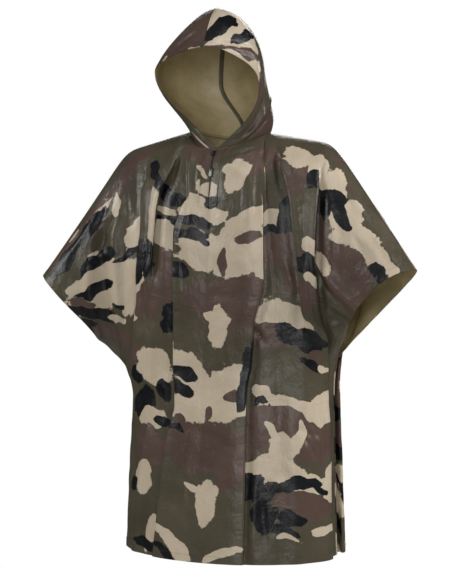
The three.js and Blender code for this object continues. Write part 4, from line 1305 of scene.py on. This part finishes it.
# Tape inside the hood
SEAM_TAPE = dict(width=12, steps=90, end=1.92, ease=0.4, crown_end=0.8, back_start=1.25)
TAPE_SHARES = np.linspace(-1, 1, 9)
PART_HOOD_ROWS = 22
PART_HOOD_COLUMNS = 18


def hood_seam_point(along):
    point = hood_point(1, np.minimum(along, 1), np.minimum(2 - along, 1))
    point[..., 0] = 0
    return point


def into_hood(along):
    before = hood_seam_point(along - 0.02)
    after = hood_seam_point(along + 0.02)
    inward = unit(np.stack([np.zeros_like(along), after[..., 2] - before[..., 2],
                            before[..., 1] - after[..., 1]], -1))
    to_middle = np.array([0, *HOOD_MIDDLE]) - before
    side = np.sign(np.sum(inward * to_middle, axis=-1, keepdims=True))
    return inward * side


def seam_drop(along, reach):
    """How far the hood falls in, `reach` millimetres to the side of its seam."""
    seam = hood_seam_point(along)
    on_crown = hood_point(1, np.minimum(along, 1), np.full_like(along, 1 - 1 / PART_HOOD_ROWS))
    on_back = hood_point(1, np.full_like(along, 1 - 1 / PART_HOOD_COLUMNS), np.minimum(2 - along, 1))
    beside = np.where((along < 1)[..., None], on_crown, on_back)
    return np.sum((beside - seam) * into_hood(along), axis=-1) * reach / beside[..., 0]


def sew_seam_tape():
    inset = CLOTH / 2 + SEAM_GAP + STRIP / 2 + SEAM_TAPE["ease"]
    steps = np.arange(1, SEAM_TAPE["steps"] + 1) / SEAM_TAPE["steps"] * SEAM_TAPE["end"]
    lines = []
    for share in TAPE_SHARES:
        reach = abs(share) * SEAM_TAPE["width"] / 2
        on_crown = seam_drop(np.minimum(steps, SEAM_TAPE["crown_end"]), reach)
        on_back = seam_drop(np.maximum(steps, SEAM_TAPE["back_start"]), reach)
        drop = mix(on_crown, on_back, smooth_step(SEAM_TAPE["crown_end"], SEAM_TAPE["back_start"], steps))
        point = hood_seam_point(steps) + into_hood(steps) * (inset + drop)[:, None]
        point[:, 0] = np.sign(share) * reach
        lines.append(turn_hood(point))
    points = np.stack(lines, axis=1)
    u, v = cut_tables(points, len(TAPE_SHARES) // 2)
    piece = wall_mesh("seam_tape_cloth", points, grid_normals(points, 1), STRIP, (u, v),
                      np.zeros(u.shape + (3,)), [TAPE])
    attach(piece, "garment")
    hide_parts("hood_seam_tape")
    return points


tape_points = sew_seam_tape()

# Neck closure
PLACKET = dict(inner=2.8, outer=26, top_row=0.005, end_row=0.27)
ZIP_TAPE = dict(inner=0.6, outer=13, top_row=0.005, end_row=0.266)
STRIP_ROWS = 60
TOOTH_FROM_MIDDLE = 1.1
TOOTH_LIFT = -STRIP_LIFT + STRIP / 2 + 0.5
STRIP_COLUMNS = 11
PRINT_SHIFT = (8, 6)           # the strips are cut from another place of the printed cloth


def strip_points(sign, size, lift):
    """Grid of a strip that lies along the zip, from the front's points moved out or in."""
    rows = np.linspace(size["top_row"], size["end_row"], STRIP_ROWS)
    shares = np.linspace(0, 1, STRIP_COLUMNS)
    reach = mix(size["inner"], size["outer"], shares if sign > 0 else shares[::-1])
    per_column = plain_frame(-1, np.zeros_like(rows), rows)[2]
    columns = sign * reach[None, :] / per_column[:, None]
    row_grid = np.broadcast_to(rows[:, None], columns.shape)
    return cloth_point(-1, columns, row_grid, lift), columns, row_grid


def sew_strip(name, node, sign, size, lift, materials, printed):
    points, columns, rows = strip_points(sign, size, lift)
    u, v = print_place(-1, columns, rows)
    moved = [(patch, u0 + PRINT_SHIFT[0], v0 + PRINT_SHIFT[1]) for patch, u0, v0 in front_patches]
    covers = cover_of(moved, u, v)
    if not printed:
        covers *= 0
    piece = wall_mesh(name, points, grid_normals(points, 1), STRIP, (u, v), covers, materials)
    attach(piece, "garment")
    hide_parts(node)


for side_name, side_sign in (("left", -1), ("right", 1)):
    sew_strip(f"placket_cloth_{side_name}", f"placket_{side_name}", side_sign, PLACKET, STRIP_LIFT,
              CLOTH_SKINS, True)
    sew_strip(f"zip_tape_weave_{side_name}", f"zip_tape_{side_name}", side_sign, ZIP_TAPE, -STRIP_LIFT,
              [TAPE], False)

# Sewing and the zip's teeth: lines on the cloth, and a node tree that repeats a bar along each
STITCH = dict(pitch=3.4, length=2.5, radius=0.26, sides=6)
TOOTH = dict(pitch=1.5, length=3.2, radius=0.42, sides=8)
STITCH_SEED = 4
STITCH_LIFT = CLOTH / 2 + 0.12
STRIP_STITCH_LIFT = STRIP / 2 + 0.12
LINE_POINTS = 520
NEAR_STEPS = np.linspace(0, 0.45, 160) ** 2   # rows close under an edge, where they are crowded


def repeat_tree():
    """Bars along every line: along it for stitches, across it for a zip's teeth."""
    tree = bpy.data.node_groups.new("bars_along_lines", "GeometryNodeTree")
    sockets = [
        ("Geometry", "NodeSocketGeometry"),
        ("Pitch", "NodeSocketFloat"),
        ("Length", "NodeSocketFloat"),
        ("Radius", "NodeSocketFloat"),
        ("Sides", "NodeSocketInt"),
        ("Across", "NodeSocketFloat"),
        ("Unevenness", "NodeSocketFloat"),
        ("Seed", "NodeSocketInt"),
        ("Material", "NodeSocketMaterial"),
    ]
    for name, kind in sockets:
        tree.interface.new_socket(name, in_out="INPUT", socket_type=kind)
    tree.interface.new_socket("Geometry", in_out="OUTPUT", socket_type="NodeSocketGeometry")

    def add(kind, **settings):
        node = tree.nodes.new(kind)
        for key, value in settings.items():
            setattr(node, key, value)
        return node

    def link(source, node, socket):
        tree.links.new(source, node.inputs[socket])

    given = add("NodeGroupInput").outputs
    curve = add("GeometryNodeMeshToCurve")
    link(given["Geometry"], curve, "Mesh")
    spaced = add("GeometryNodeResampleCurve", mode="LENGTH")
    link(curve.outputs[0], spaced, "Curve")
    link(given["Pitch"], spaced, "Length")
    bar = add("GeometryNodeMeshCylinder")
    link(given["Sides"], bar, "Vertices")
    link(given["Radius"], bar, "Radius")
    link(given["Length"], bar, "Depth")
    soft = add("GeometryNodeSetShadeSmooth")
    link(bar.outputs["Mesh"], soft, "Geometry")
    direction = add("ShaderNodeMix", data_type="VECTOR")
    link(given["Across"], direction, 0)
    link(add("GeometryNodeInputTangent").outputs[0], direction, 4)
    direction.inputs[5].default_value = (1, 0, 0)
    turned = add("FunctionNodeAlignRotationToVector", axis="Z")
    link(direction.outputs[1], turned, "Vector")
    least = add("ShaderNodeMath", operation="SUBTRACT")
    least.inputs[0].default_value = 1
    link(given["Unevenness"], least, 1)
    size = add("FunctionNodeRandomValue", data_type="FLOAT")
    link(least.outputs[0], size, 2)
    size.inputs[3].default_value = 1
    link(given["Seed"], size, "Seed")
    placed = add("GeometryNodeInstanceOnPoints")
    link(spaced.outputs[0], placed, "Points")
    link(soft.outputs[0], placed, "Instance")
    link(turned.outputs[0], placed, "Rotation")
    link(size.outputs[1], placed, "Scale")
    real = add("GeometryNodeRealizeInstances")
    link(placed.outputs[0], real, "Geometry")
    coloured = add("GeometryNodeSetMaterial")
    link(real.outputs[0], coloured, "Geometry")
    link(given["Material"], coloured, "Material")
    link(coloured.outputs[0], add("NodeGroupOutput"), 0)
    return tree


REPEATS = repeat_tree()


def sew_bars(name, lines, bar, material, across=0.0, unevenness=0.25):
    """Makes one piece of all the bars along the lines, each an array of points in millimetres."""
    vertices = np.concatenate(lines) * METRE
    edges = []
    first = 0
    for line in lines:
        edges += [(first + k, first + k + 1) for k in range(len(line) - 1)]
        first += len(line)
    mesh = bpy.data.meshes.new(name)
    mesh.from_pydata(vertices.tolist(), edges, [])
    piece = bpy.data.objects.new(name, mesh)
    bpy.context.scene.collection.objects.link(piece)
    modifier = piece.modifiers.new("bars", "NODES")
    modifier.node_group = REPEATS
    values = {"Pitch": bar["pitch"] * METRE, "Length": bar["length"] * METRE, "Radius": bar["radius"] * METRE,
              "Sides": bar["sides"], "Across": across, "Unevenness": unevenness, "Seed": STITCH_SEED,
              "Material": material}
    for socket in REPEATS.interface.items_tree:
        if socket.in_out == "INPUT" and socket.name in values:
            modifier[socket.identifier] = values[socket.name]
    bpy.context.view_layer.update()
    evaluated = piece.evaluated_get(bpy.context.evaluated_depsgraph_get())
    made = bpy.data.meshes.new_from_object(evaluated)
    piece.modifiers.clear()
    piece.data = made
    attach(piece, "garment")


def line_under_edge(face, columns, distance):
    """A line `distance` millimetres under the neckline and the ridge."""
    points = panel_surface(face, columns[:, None], NEAR_STEPS[None, :])
    steps = np.linalg.norm(np.diff(points, axis=1), axis=-1)
    gone = np.concatenate([np.zeros((len(columns), 1)), np.cumsum(steps, axis=1)], axis=1)
    rows = np.array([np.interp(distance, line, NEAR_STEPS) for line in gone])
    return panel_surface(face, columns, rows, STITCH_LIFT)


def panel_lines(face):
    """Hem, cuffs, side seams, shoulder seams and neckline of one panel."""
    columns = np.linspace(-0.99, 0.99, LINE_POINTS)
    hem_v = panel_cut(face, columns, np.full_like(columns, 2))[1]
    depth = hem_v - panel_cut(face, columns, np.ones_like(columns))[1]
    hem_rows = 2 - (HEM_WIDTH - STITCH_FROM_FOLD) / depth
    lines = [panel_surface(face, columns, hem_rows, STITCH_LIFT)]
    for sign in (-1, 1):
        cuff_rows = np.linspace(0.03, 0.97, LINE_POINTS // 2)
        per_column = plain_frame(face, np.full_like(cuff_rows, sign), cuff_rows)[2]
        cuff = sign * (1 - (HEM_WIDTH - STITCH_FROM_FOLD) / per_column)
        lines.append(panel_surface(face, cuff, cuff_rows, STITCH_LIFT))
        side_rows = np.linspace(1.02, 1.97, LINE_POINTS // 2)
        per_column = plain_frame(face, np.full_like(side_rows, sign), side_rows)[2]
        lines.append(panel_surface(face, sign * (1 - STITCH_FROM_SEAM / per_column), side_rows, STITCH_LIFT))
        shoulder = sign * np.linspace(NECK_COLUMN + 0.02, 0.97, LINE_POINTS // 2)
        lines.append(line_under_edge(face, shoulder, STITCH_FROM_SEAM))
    for start, end in NECK_STITCHING[face]:
        lines.append(line_under_edge(face, np.linspace(start, end, LINE_POINTS // 4), STITCH_FROM_SEAM))
    return lines


def line_on_grid(points, normals, distance, at, lift):
    """The line at one distance on a grid of cloth, read along each of its rows."""
    raised = points + normals * lift
    return np.array([[np.interp(at, gone, row[:, axis]) for axis in range(3)]
                     for gone, row in zip(distance, raised)])


def hood_lines(points, normals):
    """Two rows round the face edge, and one beside the crown seam."""
    across = np.concatenate([np.zeros((len(points), 1)),
                             np.cumsum(np.linalg.norm(np.diff(points, axis=1), axis=-1), axis=1)], axis=1)
    lines = [line_on_grid(points, normals, across, at, STITCH_LIFT) for at in BRIM_STITCHING]
    down = np.moveaxis(points[::-1], 1, 0)[3:-3]
    gone = np.concatenate([np.zeros((len(down), 1)),
                           np.cumsum(np.linalg.norm(np.diff(down, axis=1), axis=-1), axis=1)], axis=1)
    down_normals = np.moveaxis(normals[::-1], 1, 0)[3:-3]
    return lines + [line_on_grid(down, down_normals, gone, STITCH_FROM_SEAM, STITCH_LIFT)]


def zigzag(points, normals, low, high, steps):
    """A zigzag down a strip, between two shares of its width."""
    rows = np.linspace(0, len(points) - 1, steps)
    shares = np.where(np.arange(steps) % 2 == 0, low, high) * (points.shape[1] - 1)
    raised = points + normals * STRIP_STITCH_LIFT
    return np.stack([read_table(raised[..., axis], rows, shares) for axis in range(3)], -1)


def strip_lines(points, normals, shares):
    raised = points + normals * STRIP_STITCH_LIFT
    rows = np.linspace(0, len(points) - 1, LINE_POINTS // 2)
    return [np.stack([read_table(raised[..., axis], rows, np.full_like(rows, share * (points.shape[1] - 1)))
                      for axis in range(3)], -1) for share in shares]


STITCH_FROM_FOLD = 2.5
STITCH_FROM_SEAM = 4
NECK_STITCHING = {-1: [(-0.44, -0.09), (0.09, 0.44)], 1: [(-0.44, 0.44)]}
BRIM_STITCHING = (3.5, 13.5)
ZIGZAG_STEPS = 230

hem_lines = panel_lines(-1) + panel_lines(1)
brim_lines = hood_lines(hood_left_points, hood_left_normals)
brim_lines += hood_lines(hood_right_points, hood_right_normals)
sew_bars("panel_stitches", hem_lines, STITCH, DARK_THREAD)
sew_bars("hood_stitches", brim_lines, STITCH, DARK_THREAD)
tape_normals = grid_normals(tape_points, 1)
sew_bars("seam_tape_stitches", strip_lines(tape_points, tape_normals, (0.12, 0.88))
         + [zigzag(tape_points, tape_normals, 0.28, 0.72, ZIGZAG_STEPS)], STITCH, OLIVE_THREAD)
placket_lines = []
for side_sign in (-1, 1):
    placket_points = strip_points(side_sign, PLACKET, STRIP_LIFT)[0]
    placket_lines += strip_lines(placket_points, grid_normals(placket_points, 1), (0.08, 0.92))
sew_bars("placket_stitches", placket_lines, STITCH, DARK_THREAD)
tooth_lines = []
for side_sign in (-1, 1):
    tooth_rows = np.linspace(ZIP_TAPE["top_row"], ZIP_TAPE["end_row"], LINE_POINTS)
    per_column = plain_frame(-1, np.zeros_like(tooth_rows), tooth_rows)[2]
    shift = tooth_rows[1] * (side_sign > 0) * 0.5
    tooth_columns = side_sign * TOOTH_FROM_MIDDLE / per_column
    tooth_lines.append(cloth_point(-1, tooth_columns, tooth_rows + shift, TOOTH_LIFT))
sew_bars("zip_teeth", tooth_lines, TOOTH, ZIP_TOOTH, across=1.0, unevenness=0.0)

# Metal
METALS = {
    "zip_slider": metal("slider_metal", colour(52, 54, 50), colour(120, 122, 114), 0.38, 0.85),
    "zip_pull": metal("pull_metal", colour(190, 202, 190), colour(224, 230, 220), 0.34, 0.55),
    "neck_snap": metal("snap_metal", colour(44, 46, 48), colour(132, 136, 134), 0.3, 0.9),
}
for node_name, material in METALS.items():
    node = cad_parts[node_name]
    node.data.materials.clear()
    node.data.materials.append(material)
    edge = node.modifiers.new("rounded_edges", "BEVEL")
    edge.width = 0.00018
    edge.segments = 2
    edge.limit_method = "ANGLE"
    edge.angle_limit = math.radians(40)

# Floor, light and camera
FLOOR_Z = -1.5
FLOOR_RADIUS = 1.7


def lay_floor():
    bpy.ops.mesh.primitive_circle_add(vertices=96, radius=FLOOR_RADIUS, fill_type="NGON",
                                      location=(0, 0, FLOOR_Z))
    floor = bpy.context.object
    floor.name = "studio_floor"
    tree = Tree("pale_floor")
    tree.wire(Base_Color=colour(236, 236, 234), Roughness=0.8)
    floor.data.materials.append(tree.material)


AMBIENT = 0.045
# Each soft box: name, azimuth, then height, distance and size in metres, and power
LIGHTS = [
    ("key_light", 88, 0.9, 2.6, 1.0, 62),
    ("front_light", 16, 0.2, 3.4, 1.6, 39),
    ("fill_light", -56, 0.7, 2.8, 1.0, 36),
    ("top_light", 10, 2.4, 1.6, 1.2, 12),
    ("back_light", 200, 1.2, 3.0, 1.6, 36),
]


def light_world():
    """White behind the camera's view, and a softer even light on the cloth."""
    world = bpy.data.worlds.new("studio")
    bpy.context.scene.world = world
    world.use_nodes = True
    nodes = world.node_tree.nodes
    seen = nodes["Background"]
    seen.inputs["Color"].default_value = (1, 1, 1, 1)
    seen.inputs["Strength"].default_value = 1.0
    even = nodes.new("ShaderNodeBackground")
    even.inputs["Color"].default_value = (1, 1, 1, 1)
    even.inputs["Strength"].default_value = AMBIENT
    path = nodes.new("ShaderNodeLightPath")
    both = nodes.new("ShaderNodeMixShader")
    links = world.node_tree.links
    links.new(path.outputs["Is Camera Ray"], both.inputs[0])
    links.new(even.outputs[0], both.inputs[1])
    links.new(seen.outputs[0], both.inputs[2])
    links.new(both.outputs[0], nodes["World Output"].inputs["Surface"])


def soft_light(name, azimuth, height, distance, size, power):
    """A square soft box that faces the middle of the garment, azimuth as the camera's."""
    lamp = bpy.data.lights.new(name, "AREA")
    lamp.shape = "SQUARE"
    lamp.size = size
    lamp.energy = power
    box = bpy.data.objects.new(name, lamp)
    bpy.context.scene.collection.objects.link(box)
    turn = math.radians(azimuth)
    box.location = (distance * math.sin(turn), -distance * math.cos(turn), height)
    aim = Vector((0, 0, VIEW_HEIGHT * METRE)) - box.location
    box.rotation_euler = aim.to_track_quat("-Z", "Y").to_euler()


def place_camera():
    camera = bpy.data.cameras.new("camera")
    scale = PIXEL * IMAGE_SIZE[1] / VIEW_DISTANCE
    camera.sensor_width = 36
    camera.lens = camera.sensor_width / scale
    camera.shift_x = (IMAGE_SIZE[0] / 2 - MIDDLE_PX) / IMAGE_SIZE[1]
    holder = bpy.data.objects.new("camera", camera)
    bpy.context.scene.collection.objects.link(holder)
    distance = VIEW_DISTANCE * METRE
    holder.location = (distance * math.sin(VIEW_TURN), -distance * math.cos(VIEW_TURN), VIEW_HEIGHT * METRE)
    holder.rotation_euler = (QUARTER_TURN, 0, VIEW_TURN)
    bpy.context.scene.camera = holder


lay_floor()
light_world()
for settings in LIGHTS:
    soft_light(*settings)
place_camera()
bpy.context.scene.view_settings.view_transform = "Standard"
